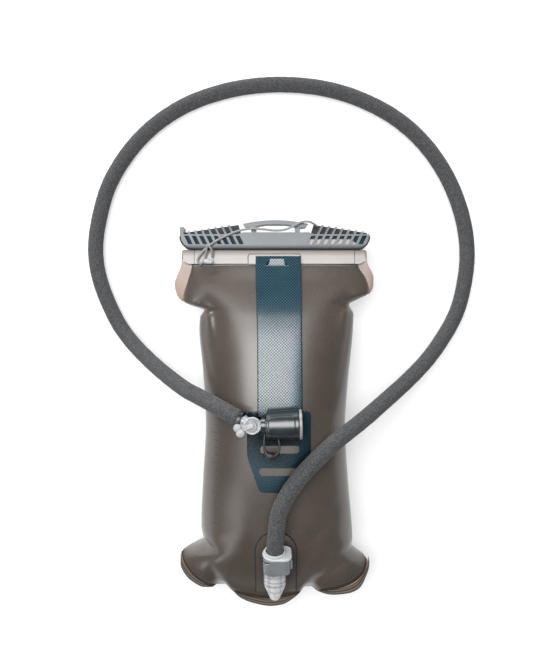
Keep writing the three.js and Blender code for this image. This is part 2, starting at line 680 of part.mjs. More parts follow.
function dustCap() {
  const shell = turned([
    [CAP.inside, CAP.start + 1.6], [CAP.leftR - 0.6, CAP.start + GAP], [CAP.leftR, CAP.start + 1.2],
    [CAP.rightR, CAP.end], [0, CAP.end], [0, CAP.end - 2], [CAP.inside, CAP.end - 2.6],
    [CAP.inside, CAP.start + 1.6],
  ], 36);
  return alongX(shell);
}

function capRim() {
  return alongX(turned([
    [0, CAP.end + GAP], [12.6, CAP.end + GAP], [13.2, CAP.end + 0.9], [13.2, CAP.end + 2.4],
    [12.4, CAP.end + 3], [0, CAP.end + 3],
  ], 36));
}

function keeperLoop() {
  const shape = new THREE.Shape();
  shape.moveTo(11.6, -13.2);
  shape.bezierCurveTo(10.6, -20, 10.2, -24, 10.6, -27);
  shape.bezierCurveTo(11.4, -33.4, 22.4, -33.4, 23.2, -27);
  shape.bezierCurveTo(23.6, -24, 23, -20, 22.2, -13.2);
  const hole = new THREE.Path();
  hole.moveTo(13.4, -14.8);
  hole.bezierCurveTo(12.6, -19, 12.4, -21, 12.6, -24);
  hole.bezierCurveTo(13.4, -28.4, 20.4, -28.4, 21.2, -24);
  hole.bezierCurveTo(21.4, -21, 21.2, -19, 20.4, -14.8);
  shape.holes.push(hole);
  return plate(shape, -2.2, 2.2, 8);
}

// ---------------------------------------------------------------- drink tube

// Middle of the hose, from inside the plug round the reservoir to the bite valve.
const HOSE_ROUTE = [
  [1, -121.5, 85.3], [1, -113.2, 87.9], [1.6, -102.5, 91], [5.2, -76, 94.2], [13.5, -59.6, 94],
  [25.9, -43.6, 91.5], [51.2, -20.5, 83], [81.8, 0.9, 69.5], [105.6, 17.6, 54], [129.8, 35.3, 38],
  [151.6, 54.2, 24], [168.7, 74, 14], [181.7, 94.3, 9.2], [189.8, 114.7, 7.7], [196.5, 157.6, 7.6],
  [192.4, 196.4, 7.6], [177.6, 237.2, 7.6], [152.6, 274.5, 7.6], [117.9, 304.1, 7.6],
  [66.8, 326.7, 7.6], [10.7, 334.6, 7.6], [-45.4, 329.1, 7.6], [-96.5, 310.5, 7.6],
  [-137.3, 279.1, 7.6], [-166.9, 236.2, 7.6], [-179.1, 196.4, 7.6], [-182.6, 165.8, 7.6],
  [-178.1, 135.2, 7.6], [-160.8, 94.3, 8.5], [-145.8, 74, 13], [-123.9, 54.2, 26],
  [-96.9, 36.1, 48], [-81.4, 27.7, 61.5], [-66.5, 21.9, 74.3],
  [-53.7, 16.9, 84.5], [-41.4, 10.9, 90.8], [-31, 5.8, 93.3],
];

const hoseCurve = new THREE.CatmullRomCurve3(
  HOSE_ROUTE.map(([x, y, z]) => new THREE.Vector3(x, y, z)), false, 'centripetal');

function insulationSleeve() {
  return tubeAlong(hoseCurve, HOSE_D / 2, HOSE_STEPS, HOSE_SIDES, SLEEVE_INSIDE / 2);
}

function drinkTube() {
  return tubeAlong(hoseCurve, TUBE_D / 2, HOSE_STEPS, HOSE_SIDES, TUBE_INSIDE / 2);
}

function sleeveEndRing() {
  return alongInlet(sleeve(8.3, 4.1, 10.9, 13.9));
}

// ---------------------------------------------------------------- assembly

const hydrationBladder = new THREE.Group();

function add(name, geometry, material, parent = hydrationBladder) {
  const mesh = new THREE.Mesh(geometry, material);
  mesh.name = name;
  parent.add(mesh);
  return mesh;
}

// Reservoir: film, welds and what is welded on it.
add('front_panel', frontPanel(), FILM);
add('back_panel', backPanel(), FILM);
add('bottom_weld', bottomWeld(), FLANGE);
add('mouth_flange_left', mouthFlange(
  LEFT_EDGE, [[-83, 146], [-90, 143], [-95.5, 128], [-90.2, 112]], -1), FLANGE);
add('mouth_flange_right', mouthFlange(
  RIGHT_EDGE, [[84, 146], [91, 144.5], [95.5, 133.7], [93.6, 119.5]], 1), FLANGE);
add('closure_rail', closureRail(), RAIL_WHITE);
add('rail_end_tab_left', railEndTab(RAIL.left - GAP, -86.9), RAIL_WHITE);
add('rail_end_tab_right', railEndTab(RAIL.right + GAP, 87), RAIL_WHITE);
add('strap_anchor_patch', plate(
  roundedRect(ANCHOR.left, ANCHOR.right, RAIL.bottom, ANCHOR.top, ANCHOR.corner),
  RAIL.high + GAP, RAIL.high + GAP + ANCHOR.thickness), CLEAR);
const strapShape = roundedRect(STRAP.left, STRAP.right, STRAP.bottom, STRAP.top, 0.6);
add('grip_strap', drapedPlate(strapShape, STRAP_LIFT, STRAP.thickness), STRAP_BLUE);

const plateShape = polygon([
  [-12.7, -63.3], [21.9, -63.3], [33.5, -30.9], [33.5, 7], [30.7, 9.8], [-21.5, 9.8], [-24.3, 7],
  [-24.3, -30.9],
]);
plateShape.holes.push(new THREE.Path(roundedRect(-12.6, 23.2, -28.1, -20.9, 3.5).getPoints(4)));
plateShape.holes.push(new THREE.Path(roundedRect(-13.7, 22.9, -48.2, -41, 2).getPoints(3)));
add('strap_base_plate', drapedPlate(plateShape, PLATE_LIFT, SKIN), STRAP_BLUE);

const patchShape = new THREE.Shape();
patchShape.moveTo(-18.1, -163);
patchShape.lineTo(20.9, -163);
patchShape.lineTo(20.9, -123);
patchShape.bezierCurveTo(20.9, -98, -18.1, -98, -18.1, -123);
add('port_weld_patch', drapedPlate(patchShape, PLATE_LIFT, SKIN), FILM);

// Port and plug share one sloping axis.
const port = new THREE.Group();
port.applyMatrix4(portAxis);
hydrationBladder.add(port);
add('port_body', portBody(), CLEAR);
add('port_end_cap', portEndCap(), CLEAR, port);
add('port_poppet', portPoppet(), COLLAR_GREY, port);
add('poppet_spring', coil(3.4, 0.4, -25.4, -18, 3), STEEL, port);
add('plug_collar', plugCollar(), COLLAR_GREY, port);
add('plug_stem', plugStem(), COLLAR_GREY, port);
add('stem_o_ring_lower', torus(O_RING.middle, O_RING.wire, -7.3), SEAL, port);
add('stem_o_ring_upper', torus(O_RING.middle, O_RING.wire, -3.5), SEAL, port);
add('hose_lip_ring', hoseLip(), RAIL_WHITE, port);
add('release_button', releaseButton(), COLLAR_GREY, port);
add('button_spring', alongX(coil(2.2, 0.25, 9.45, 10.95, 1.5)).translate(0, 8.5, 0), STEEL, port);

// Slide bar and its tether.
add('slide_bar', slideBar(), BAR_GREY);
add('slide_bar_liner', slideBarLiner(), TEAL);
add('tether_cord', tetherCord(), CORD_GREY);
add('tether_bead', tetherBead(), CLEAR);

// Drink tube and bite valve.
add('insulation_sleeve', insulationSleeve(), FOAM);
add('drink_tube', drinkTube(), SILICONE);

const valve = new THREE.Group();
valve.position.set(VALVE.x, VALVE.y, VALVE.z);
valve.rotation.z = THREE.MathUtils.degToRad(VALVE.turn);
hydrationBladder.add(valve);
add('sleeve_end_ring', sleeveEndRing(), BLACK, valve);
add('valve_body', valveBody(), CLEAR, valve);
add('shutoff_knob', shutoffKnob(), CLEAR, valve);
add('rotor_o_ring', upright(torus(4.5, 0.42, 2.9)), SEAL, valve);
add('valve_neck', valveNeck(), BLACK, valve);
add('bite_valve', biteValve(), SILICONE, valve);
add('dust_cap', dustCap(), BLACK, valve);
add('cap_rim', capRim(), RAIL_WHITE, valve);
add('keeper_loop', keeperLoop(), BLACK, valve);

export default hydrationBladder;
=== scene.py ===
"""Looks for a filled drinking reservoir that lies on its back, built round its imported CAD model.

The camera, the lights and the floor are placed in metres. Outlines, routes and heights are in
millimetres, in the CAD source's frame, and mesh_piece() and plate_piece() turn them into metres.
"""
import math

import bmesh
import bpy
import numpy as np
from mathutils import Matrix, Vector


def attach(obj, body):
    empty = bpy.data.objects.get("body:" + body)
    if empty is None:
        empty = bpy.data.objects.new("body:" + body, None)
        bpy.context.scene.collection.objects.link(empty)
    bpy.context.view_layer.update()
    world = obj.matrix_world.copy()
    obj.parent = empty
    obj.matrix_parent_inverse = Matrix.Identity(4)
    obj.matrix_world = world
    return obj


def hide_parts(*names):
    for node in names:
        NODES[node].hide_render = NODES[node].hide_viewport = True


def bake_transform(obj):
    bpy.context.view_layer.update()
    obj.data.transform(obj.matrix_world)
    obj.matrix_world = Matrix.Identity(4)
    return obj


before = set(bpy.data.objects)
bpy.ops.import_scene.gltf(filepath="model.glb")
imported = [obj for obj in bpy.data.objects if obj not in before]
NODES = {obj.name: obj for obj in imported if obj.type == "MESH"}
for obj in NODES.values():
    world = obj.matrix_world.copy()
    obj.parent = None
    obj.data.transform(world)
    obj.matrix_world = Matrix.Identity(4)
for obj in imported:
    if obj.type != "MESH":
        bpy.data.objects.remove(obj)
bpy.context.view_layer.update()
MM = 0.001

# ---------------------------------------------------------------- camera, light and floor

CAMERA_PLACE = (0.0056, 0.078, 0.620)
CAMERA_LENS = 32.14
FLOOR_Z = -0.0004


def add_camera():
    data = bpy.data.cameras.new("camera")
    data.lens = CAMERA_LENS
    data.sensor_width = 36
    camera = bpy.data.objects.new("camera", data)
    camera.location = CAMERA_PLACE
    bpy.context.scene.collection.objects.link(camera)
    bpy.context.scene.camera = camera


def add_softbox(name, place, target, size, power, colour=(1, 1, 1)):
    data = bpy.data.lights.new(name, "AREA")
    data.shape = "RECTANGLE"
    data.size, data.size_y = size
    data.energy = power
    data.color = colour
    light = bpy.data.objects.new(name, data)
    light.location = place
    aim = Vector(target) - Vector(place)
    light.rotation_euler = aim.to_track_quat("-Z", "Y").to_euler()
    bpy.context.scene.collection.objects.link(light)


def set_world(strength):
    world = bpy.data.worlds.new("studio")
    world.use_nodes = True
    background = world.node_tree.nodes["Background"]
    background.inputs["Color"].default_value = (1.0, 1.0, 1.0, 1)
    background.inputs["Strength"].default_value = strength
    bpy.context.scene.world = world


# ---------------------------------------------------------------- material helpers


class Look:
    """A material made of nodes round one Principled shader. Settings are its own sockets' values."""

    def __init__(self, name, **settings):
        self.material = bpy.data.materials.new(name)
        self.material.use_nodes = True
        self.tree = self.material.node_tree
        self.shader = self.tree.nodes["Principled BSDF"]
        for socket, value in settings.items():
            self.shader.inputs[socket.replace("_", " ")].default_value = value
        self.place = self.node("ShaderNodeTexCoord").outputs["Object"]

    def node(self, kind, **properties):
        made = self.tree.nodes.new(kind)
        for name, value in properties.items():
            setattr(made, name, value)
        return made

    def link(self, source, into):
        self.tree.links.new(source, into)

    def noise(self, scale, detail=2.0, roughness=0.5):
        made = self.node("ShaderNodeTexNoise")
        made.inputs["Scale"].default_value = scale
        made.inputs["Detail"].default_value = detail
        made.inputs["Roughness"].default_value = roughness
        self.link(self.place, made.inputs["Vector"])
        return made.outputs["Fac"]

    def ramp(self, fac, *stops):
        made = self.node("ShaderNodeValToRGB")
        elements = made.color_ramp.elements
        for element, (place, colour) in zip(elements, (stops[0], stops[-1])):
            element.position = place
            element.color = (*colour, 1)
        for place, colour in stops[1:-1]:
            elements.new(place).color = (*colour, 1)
        self.link(fac, made.inputs["Fac"])
        return made.outputs["Color"]

    def cloud(self, scale, detail, dark, light):
        """A colour that drifts from dark to light by noise."""
        return self.ramp(self.noise(scale, detail), (0.3, dark), (0.7, light))

    def mix(self, fac, first, second, kind="MIX"):
        """Colours first and second, either of them a socket or three numbers, mixed by a socket or number."""
        made = self.node("ShaderNodeMix", data_type="RGBA", blend_type=kind)
        for socket, value in ((made.inputs[0], fac), (made.inputs[6], first), (made.inputs[7], second)):
            if isinstance(value, bpy.types.NodeSocket):
                self.link(value, socket)
            elif isinstance(value, (int, float)):
                socket.default_value = value
            else:
                socket.default_value = (*value, 1)
        return made.outputs[2]

    def times(self, first, *others):
        """Colours multiplied."""
        for other in others:
            first = self.mix(1.0, first, other, "MULTIPLY")
        return first

    def math(self, operation, *values):
        made = self.node("ShaderNodeMath", operation=operation)
        for socket, value in zip(made.inputs, values):
            if isinstance(value, bpy.types.NodeSocket):
                self.link(value, socket)
            else:
                socket.default_value = value
        return made.outputs[0]

    def span(self, place, start, length):
        """0 at a start and 1 a length further on, both in millimetres along an axis."""
        return self.math("MULTIPLY_ADD", place, 1 / (length * MM), -start / length)

    def axes(self, vector=None):
        made = self.node("ShaderNodeSeparateXYZ")
        self.link(vector or self.place, made.inputs[0])
        return made.outputs

    def uv(self):
        return self.node("ShaderNodeUVMap", uv_map="along").outputs["UV"]

    def colour(self, source):
        self.link(source, self.shader.inputs["Base Color"])

    def rough(self, fac, low, high):
        made = self.node("ShaderNodeMapRange")
        made.inputs["To Min"].default_value = low
        made.inputs["To Max"].default_value = high
        self.link(fac, made.inputs["Value"])
        self.link(made.outputs["Result"], self.shader.inputs["Roughness"])

    def sheltered(self, reach, *stops):
        """Darker on the lower side of parts that stand in the way of the light from beyond the mouth."""
        toward = self.node("ShaderNodeCombineXYZ")
        toward.inputs["Y"].default_value = 0.66
        toward.inputs["Z"].default_value = 0.75
        open_sky = self.node("ShaderNodeAmbientOcclusion", samples=8)
        open_sky.inputs["Distance"].default_value = reach * MM
        self.link(toward.outputs[0], open_sky.inputs["Normal"])
        return self.ramp(open_sky.outputs["AO"], *stops)

    def shine(self, source):
        self.link(source, self.shader.inputs["Specular IOR Level"])

    def bumps(self, *layers):
        """Stacks bumps; each layer is (height socket, distance in mm, strength)."""
        normal = None
        for height, distance, strength in layers:
            made = self.node("ShaderNodeBump")
            made.inputs["Distance"].default_value = distance * MM
            made.inputs["Strength"].default_value = strength
            self.link(height, made.inputs["Height"])
            if normal:
                self.link(normal, made.inputs["Normal"])
            normal = made.outputs["Normal"]
        self.link(normal, self.shader.inputs["Normal"])


# ---------------------------------------------------------------- materials


def grey(value):
    return (value, value, value)


def mottled(name, cloud, dark, light, grain, rough, bump, **settings):
    """A plain material: its colour and its roughness each follow a noise, over fine bumps."""
    look = Look(name, **settings)
    look.colour(look.cloud(*cloud, dark, light))
    look.rough(look.noise(*grain), *rough)
    scale, distance, strength = bump
    look.bumps((look.noise(scale), distance, strength),)
    return look.material


BLACK = grey(0.0)
WHITE = grey(1.0)
# Threads of the woven, knitted and braided parts, in radians per metre along and round them.
WEAVE_WAVE = 2260.0                   # 1.4 mm a thread
KNIT_ALONG, KNIT_AROUND = 5200.0, 4200.0
BRAID_ALONG, BRAID_AROUND = 5200.0, 3000.0


def film_look():
    """Dark, smoky film, duller and without its velvet towards the bottom weld, with a painted shadow under
    the parts that lie on it.
    """
    look = Look("smoke_film", Sheen_Roughness=0.5)
    near_weld = look.axes(look.uv())[1]
    # Painted shadow: colour and gloss darken where nearby parts stand between the film and the light from
    # beyond the mouth.
    painted_shadow = look.sheltered(22, (0.08, grey(0.3)), (0.45, WHITE))
    dulled = look.math("MAXIMUM", look.math("MULTIPLY_ADD", near_weld, -0.95, 0.66), 0.0)
    look.shine(look.math("MULTIPLY", dulled, painted_shadow))
    velvet = look.math("MAXIMUM", look.math("MULTIPLY_ADD", near_weld, -0.25, 0.14), 0.0)
    look.link(velvet, look.shader.inputs["Sheen Weight"])
    speckle = look.noise(850, 2, 0.7)
    tone = look.ramp(look.noise(14, 3, 0.55), (0.3, (0.046, 0.036, 0.029)), (0.7, (0.060, 0.048, 0.040)))
    grain = look.ramp(speckle, (0.32, grey(0.8)), (0.68, grey(1.18)))
    look.colour(look.times(tone, grain, painted_shadow))
    look.rough(speckle, 0.26, 0.40)
    look.bumps((look.noise(55, 3), 0.2, 0.2), (look.noise(620, 2), 0.04, 0.35))
    return look.material


def flange_look():
    """Tan clear film, paler towards the mouth and along its edges."""
    look = Look("clear_flange", Roughness=0.42)
    up, across, _ = look.axes(look.uv())
    tone = look.ramp(
        up, (0.0, (0.165, 0.087, 0.056)), (0.35, (0.195, 0.125, 0.093)), (1.0, (0.25, 0.195, 0.167)))
    # The pale strip along the inner edge, where the film meets the flange, is a painted highlight.
    edge = look.ramp(across, (0.0, WHITE), (0.12, BLACK), (0.9, BLACK), (1.0, grey(0.45)))
    cloud = look.cloud(60, 3, grey(0.86), grey(1.08))
    look.colour(look.mix(edge, look.times(tone, cloud), (0.50, 0.38, 0.32)))
    look.bumps((look.noise(90, 3), 0.3, 0.35), (look.noise(500, 2), 0.04, 0.4))
    return look.material


def weld_look():
    """Four pressed bands between tan edges, which fade towards the middle lobe."""
    look = Look("weld_bands", Specular_IOR_Level=0.15)
    along, across, _ = look.axes(look.uv())
    bands = look.math("PINGPONG", across, 0.125)
    line = look.ramp(
        bands, (0.0, (0.19, 0.145, 0.12)), (0.03, (0.10, 0.085, 0.074)), (0.125, (0.03, 0.026, 0.023)))
    edge = look.ramp(across, (0.0, WHITE), (0.34, WHITE), (0.4, BLACK), (0.9, BLACK), (1.0, WHITE))
    corners = look.ramp(along, (0.04, WHITE), (0.08, grey(0.2)), (0.15, grey(0.2)), (0.19, WHITE))
    look.colour(look.mix(look.math("MULTIPLY", edge, corners), line, (0.33, 0.21, 0.15)))
    look.rough(look.noise(300), 0.3, 0.5)
    look.bumps((look.noise(200, 3), 0.1, 0.4),)
    return look.material


def rail_look():
    """Frosted white, darker along its lower edge, with a painted shadow in a band just under the closure bar.
    """
    look = Look("frosted_white", Roughness=0.38)
    tone = look.cloud(22, 2, (0.265, 0.243, 0.234), (0.315, 0.295, 0.285))
    up = look.span(look.axes()[1], 145.5, 28)
    # The dark stop at 0.51 is a painted shadow just under the closure bar; the gloss follows the same painted
    # shade.
    shade = look.ramp(
        up, (0.0, (0.45, 0.38, 0.34)), (0.04, WHITE), (0.30, (0.97, 0.96, 0.95)), (0.51, (0.42, 0.36, 0.33)),
        (0.57, WHITE))
    look.colour(look.times(tone, shade))
    look.shine(look.math("MULTIPLY", shade, 0.55))
    look.bumps((look.noise(350, 3), 0.04, 0.35),)
    return look.material


def port_look():
    """Frosted plastic with the darker bands of the sealing rings inside it."""
    look = Look("port_plastic", Transmission_Weight=0.15, IOR=1.45)
    x, y, _ = look.axes()
    bands = look.ramp(
        look.span(y, -162, 30), (0.0, WHITE), (0.28, WHITE), (0.36, (0.7, 0.71, 0.72)), (0.4, WHITE),
        (0.52, WHITE), (0.58, (0.45, 0.47, 0.49)), (0.62, WHITE), (0.7, (0.6, 0.62, 0.64)),
        (0.75, WHITE), (0.85, (0.6, 0.62, 0.64)))
    aside = look.math("ABSOLUTE", look.span(x, 1, 10))
    sides = look.ramp(
        aside, (0.0, (0.92, 0.92, 0.93)), (0.3, WHITE), (0.55, (0.65, 0.67, 0.69)), (0.8, WHITE),
        (1.0, (0.5, 0.52, 0.54)))
    tone = look.cloud(220, 3, (0.50, 0.505, 0.51), grey(0.66))
    look.colour(look.times(tone, look.times(bands, sides)))
    look.rough(look.noise(220, 3), 0.22, 0.36)
    look.bumps((look.noise(500, 2), 0.03, 0.3),)
    return look.material


def strap_look():
    """A plain weave, as the product of a wave along X and one along Y, with a painted shadow under the parts
    that lie on it.
    """
    look = Look("strap_weave")
    x, y, _ = look.axes()
    warp = look.math("SINE", look.math("MULTIPLY", x, WEAVE_WAVE))
    weft = look.math("SINE", look.math("MULTIPLY", y, WEAVE_WAVE))
    weave = look.math("MULTIPLY", warp, weft)
    thread = look.ramp(look.math("MULTIPLY_ADD", weave, 0.5, 0.5), (0.3, grey(0.2)), (0.7, grey(1.8)))
    tone = look.cloud(40, 3, (0.009, 0.030, 0.045), (0.014, 0.040, 0.056))
    # Painted shadow: colour and gloss darken where the valve and other parts stand in the way of the light.
    painted_shadow = look.sheltered(40, (0.42, grey(0.04)), (0.8, WHITE))
    look.colour(look.times(tone, thread, painted_shadow))
    look.shine(look.math("MULTIPLY", look.math("MULTIPLY_ADD", weave, 0.28, 0.56), painted_shadow))
    look.rough(look.math("MULTIPLY_ADD", weave, -0.5, 0.5), 0.17, 0.3)
    look.bumps((weave, 0.05, 0.35), (look.noise(900, 2), 0.02, 0.2))
    return look.material


def bar_look():
    """Grey, with painted shade along its lower edge and down in the grip's slots."""
    look = Look("bar_grey")
    fine = look.noise(900, 2)
    tone = look.cloud(30, 3, (0.080, 0.091, 0.098), (0.102, 0.114, 0.122))
    _, up, out = look.axes()
    # Painted shade, in colour and in gloss: the lower edge, which faces away from the light, and the floors
    # of the grip's slots.
    low_edge_shade = look.ramp(look.span(up, 160, 8), (0.0, grey(0.12)), (0.25, grey(0.45)), (0.6, WHITE))
    recess_shade = look.ramp(look.span(out, 40, 5), (0.08, (0.2, 0.22, 0.24)), (0.7, WHITE))
    shade = look.times(low_edge_shade, recess_shade)
    look.colour(look.times(tone, shade))
    look.shine(look.math("MULTIPLY", shade, 0.42))
    look.rough(fine, 0.3, 0.44)
    look.bumps((fine, 0.03, 0.4), (look.noise(120, 2), 0.05, 0.2))
    return look.material


def sleeve_look():
    """Heathered knit: courses along the hose that wave with the wales round it."""
    look = Look("sleeve_knit", Sheen_Weight=0.08, Sheen_Roughness=0.5, Specular_IOR_Level=0.25)
    along, around, _ = look.axes(look.uv())
    wale = look.math("SINE", look.math("MULTIPLY", around, KNIT_AROUND))
    wave = look.math("MULTIPLY_ADD", along, KNIT_ALONG, look.math("MULTIPLY", wale, 1.2))
    course = look.math("SINE", wave)
    heather = look.noise(800, 3, 0.75)
    tone = look.ramp(
        heather, (0.3, (0.024, 0.024, 0.026)), (0.5, (0.048, 0.049, 0.051)), (0.72, (0.11, 0.111, 0.115)))
    shade = look.ramp(look.noise(260, 2, 0.6), (0.35, grey(0.92)), (0.65, grey(1.07)))
    look.colour(look.times(tone, shade))
    look.rough(heather, 0.85, 0.98)
    look.bumps((course, 0.12, 0.5), (heather, 0.25, 0.7))
    return look.material


def cord_look():
    """A braid of two sets of threads that lean in opposite ways round the cord."""
    look = Look("cord_braid", Roughness=0.6, Sheen_Weight=0.2, Sheen_Roughness=0.5)
    along, around, _ = look.axes(look.uv())
    lean, back = (
        look.math("SINE", look.math("MULTIPLY_ADD", along, BRAID_ALONG, look.math("MULTIPLY", around, turn)))
        for turn in (BRAID_AROUND, -BRAID_AROUND))
    braid = look.math("MULTIPLY", lean, back)
    height = look.math("MULTIPLY_ADD", braid, 0.5, 0.5)
    look.colour(look.ramp(height, (0.2, (0.13, 0.135, 0.14)), (0.8, (0.27, 0.275, 0.285))))
    look.bumps((braid, 0.12, 0.6),)
    return look.material


def black_look():
    """Satin black, duller on the side towards the mouth."""
    look = Look("black_satin")
    look.colour(look.cloud(80, 3, (0.010, 0.014, 0.016), (0.018, 0.024, 0.027)))
    look.rough(look.noise(500), 0.24, 0.34)
    shade = look.ramp(look.span(look.axes()[1], -10, 20), (0.78, WHITE), (0.88, grey(0.28)))
    look.shine(look.math("MULTIPLY", shade, 0.75))
    look.bumps((look.noise(300), 0.02, 0.25),)
    return look.material


def floor_look():
    """White paper that glows a little more away from the middle, where the softbox lights it less."""
    look = Look("floor_paper", Roughness=0.9, Specular_IOR_Level=0.1, Emission_Color=(1, 1, 1, 1))
    look.colour(look.cloud(300, 2, grey(0.44), grey(0.46)))
    away = look.node("ShaderNodeVectorMath", operation="LENGTH")
    look.link(look.place, away.inputs[0])
    glow = look.math("MULTIPLY_ADD", look.math("POWER", away.outputs["Value"], 2.0), 0.9, 0.42)
    look.link(look.math("MINIMUM", glow, 1.0), look.shader.inputs["Emission Strength"])
    return look.material


# ---------------------------------------------------------------- mesh helpers


def smooth(points, t):
    """A monotone cubic curve through (t, value) pairs, for a number or an array."""
    knots = np.array([p[0] for p in points], float)
    values = np.array([p[1] for p in points], float)
    rises = np.diff(values) / np.diff(knots)
    slopes = np.zeros(len(knots))
    before, after = rises[:-1], rises[1:]
    same = before * after > 0
    slopes[1:-1][same] = (2 * before * after)[same] / (before + after)[same]
    t = np.clip(np.asarray(t, float), knots[0], knots[-1])
    i = np.clip(np.searchsorted(knots, t, side="left") - 1, 0, len(knots) - 2)
    width = knots[i + 1] - knots[i]
    s = (t - knots[i]) / width
    rise = values[i + 1] - values[i]
    a, b = slopes[i] * width, slopes[i + 1] * width
    return values[i] + a * s + (3 * rise - 2 * a - b) * s**2 + (a + b - 2 * rise) * s**3


def mesh_piece(name, points, faces, body, look, uvs=None):
    """A smooth-shaded mesh from points in millimetres, riding on a body."""
    mesh = bpy.data.meshes.new(name)
    mesh.from_pydata([tuple(p) for p in np.asarray(points, float) * MM], [], [tuple(f) for f in faces])
    mesh.validate()
    if uvs is not None:
        layer = mesh.uv_layers.new(name="along")
        corner = np.zeros(len(mesh.loops), int)
        mesh.loops.foreach_get("vertex_index", corner)
        layer.data.foreach_set("uv", np.asarray(uvs, float)[corner].ravel())
    return shown(name, mesh, body, look)


def shown(name, mesh, body, look):
    """A smooth-shaded object for a finished mesh. It rides on a body, or on none if it is blended later."""
    mesh.polygons.foreach_set("use_smooth", [True] * len(mesh.polygons))
    mesh.materials.append(LOOKS[look])
    piece = bpy.data.objects.new(name, mesh)
    bpy.context.scene.collection.objects.link(piece)
    if body:
        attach(piece, body)
    return piece


def soften(piece, width, angle=32):
    """Rounds the edges that are sharper than an angle."""
    edge = piece.modifiers.new("edge", "BEVEL")
    edge.width = width * MM
    edge.segments = 2
    edge.limit_method = "ANGLE"
    edge.angle_limit = math.radians(angle)
    edge.harden_normals = True


def grid_faces(rows, columns, start=0, flip=False):
    """Quads of a grid of points laid out row by row."""
    j, i = np.meshgrid(np.arange(rows - 1), np.arange(columns - 1), indexing="ij")
    a = (start + j * columns + i).ravel()
    quads = np.stack([a, a + 1, a + columns + 1, a + columns], 1)
    return quads[:, ::-1] if flip else quads


def slab_piece(name, xs, ys, tops, thickness, body, look, uvs=None):
    """A closed slab of even thickness under a grid of top points."""
    rows, columns = xs.shape
    top = np.stack([xs, ys, tops], -1).reshape(-1, 3)
    low = top - (0, 0, thickness)
    count = rows * columns
    ring = [(0, c) for c in range(columns)] + [(r, columns - 1) for r in range(1, rows)]
    ring += [(rows - 1, c) for c in range(columns - 2, -1, -1)] + [(r, 0) for r in range(rows - 2, 0, -1)]
    loop = [r * columns + c for r, c in ring]
    sides = [(a, a + count, b + count, b) for a, b in zip(loop, loop[1:] + loop[:1])]
    faces = [*grid_faces(rows, columns), *grid_faces(rows, columns, count, flip=True), *sides]
    if uvs is not None:
        uvs = np.concatenate([uvs.reshape(-1, 2)] * 2)
    return mesh_piece(name, np.concatenate([top, low]), faces, body, look, uvs)


def catmull(route, steps):
    """Points along a centripetal Catmull-Rom curve through a route, evenly spaced by length."""
    p = np.asarray(route, float)
    p = np.concatenate([[2 * p[0] - p[1]], p, [2 * p[-1] - p[-2]]])
    knots = np.concatenate([[0], np.cumsum(np.sqrt(np.linalg.norm(np.diff(p, axis=0), axis=1)))])
    fine = []
    for k in range(1, len(p) - 2):
        for t in np.linspace(knots[k], knots[k + 1], 40, endpoint=k == len(p) - 3):
            a = [lerp_at(p[k - 1 + m], p[k + m], knots[k - 1 + m], knots[k + m], t) for m in range(3)]
            b = [lerp_at(a[m], a[m + 1], knots[k - 1 + m], knots[k + 1 + m], t) for m in range(2)]
            fine.append(lerp_at(b[0], b[1], knots[k], knots[k + 1], t))
    fine = np.array(fine)
    run = np.concatenate([[0], np.cumsum(np.linalg.norm(np.diff(fine, axis=0), axis=1))])
    even = np.linspace(0, run[-1], steps + 1)
    return np.stack([np.interp(even, run, fine[:, c]) for c in range(3)], 1), run[-1]


def lerp_at(a, b, start, end, t):
    return a * (end - t) / (end - start) + b * (t - start) / (end - start)


def rings_along(path, up=(0, 0, 1)):
    """Side and top directions at each point of a path, turning as little as they can."""
    tangents = np.gradient(path, axis=0)
    tangents /= np.linalg.norm(tangents, axis=1)[:, None]
    side = np.cross(tangents[0], up)
    side /= np.linalg.norm(side)
    sides = []
    for tangent in tangents:
        side = side - tangent * side.dot(tangent)
        side /= np.linalg.norm(side)
        sides.append(side)
    sides = np.array(sides)
    return sides, np.cross(sides, tangents)


def tube_piece(name, path, radius, segments, body, look):
    """A closed tube with flat ends. Its UV map holds metres along it and round it."""
    sides, tops = rings_along(path)
    count = len(path)
    radii = np.broadcast_to(radius, (count, segments)) if np.ndim(radius) < 2 else radius
    angles = np.linspace(0, 2 * math.pi, segments, endpoint=False)
    around = np.cos(angles)[None, :, None] * sides[:, None] + np.sin(angles)[None, :, None] * tops[:, None]
    points = (path[:, None] + around * radii[..., None]).reshape(-1, 3)
    run = np.concatenate([[0], np.cumsum(np.linalg.norm(np.diff(path, axis=0), axis=1))])
    round_it = np.abs(angles - math.pi)[None] * radii.mean()
    uvs = np.stack(np.broadcast_arrays(run[:, None] * MM, round_it * MM), -1)
    faces = []
    for k in range(count - 1):
        for m in range(segments):
            n = (m + 1) % segments
            faces.append((k * segments + m, (k + 1) * segments + m, (k + 1) * segments + n, k * segments + n))
    faces.append(tuple(range(segments)))
    faces.append(tuple((count - 1) * segments + m for m in reversed(range(segments))))
    return mesh_piece(name, points, faces, body, look, uvs.reshape(-1, 2))


def lathe_piece(name, profile, place, body, look, segments=64, bulge=None):
    """A closed piece turned about local Z from (radius, height) points that start and end on the axis.

    bulge gives what a radius grows by, from the radius, the height and the angle."""
    angles = np.linspace(0, 2 * math.pi, segments, endpoint=False)
    points, rings, faces = [], [], []
    for radius, height in profile:
        count = 1 if radius == 0 else segments
        rings.append(list(range(len(points), len(points) + count)))
        for angle in angles[:count]:
            wide = radius + (bulge(radius, height, angle) if bulge else 0)
            points.append(place @ Vector((wide * math.cos(angle), wide * math.sin(angle), height)))
    for low, high in zip(rings, rings[1:]):
        for k in range(segments):
            a, b = k, (k + 1) % segments
            face = [low[a % len(low)], low[b % len(low)], high[b % len(high)], high[a % len(high)]]
            face = list(dict.fromkeys(face))
            if len(face) > 2:
                faces.append(face)
    return mesh_piece(name, points, faces, body, look)


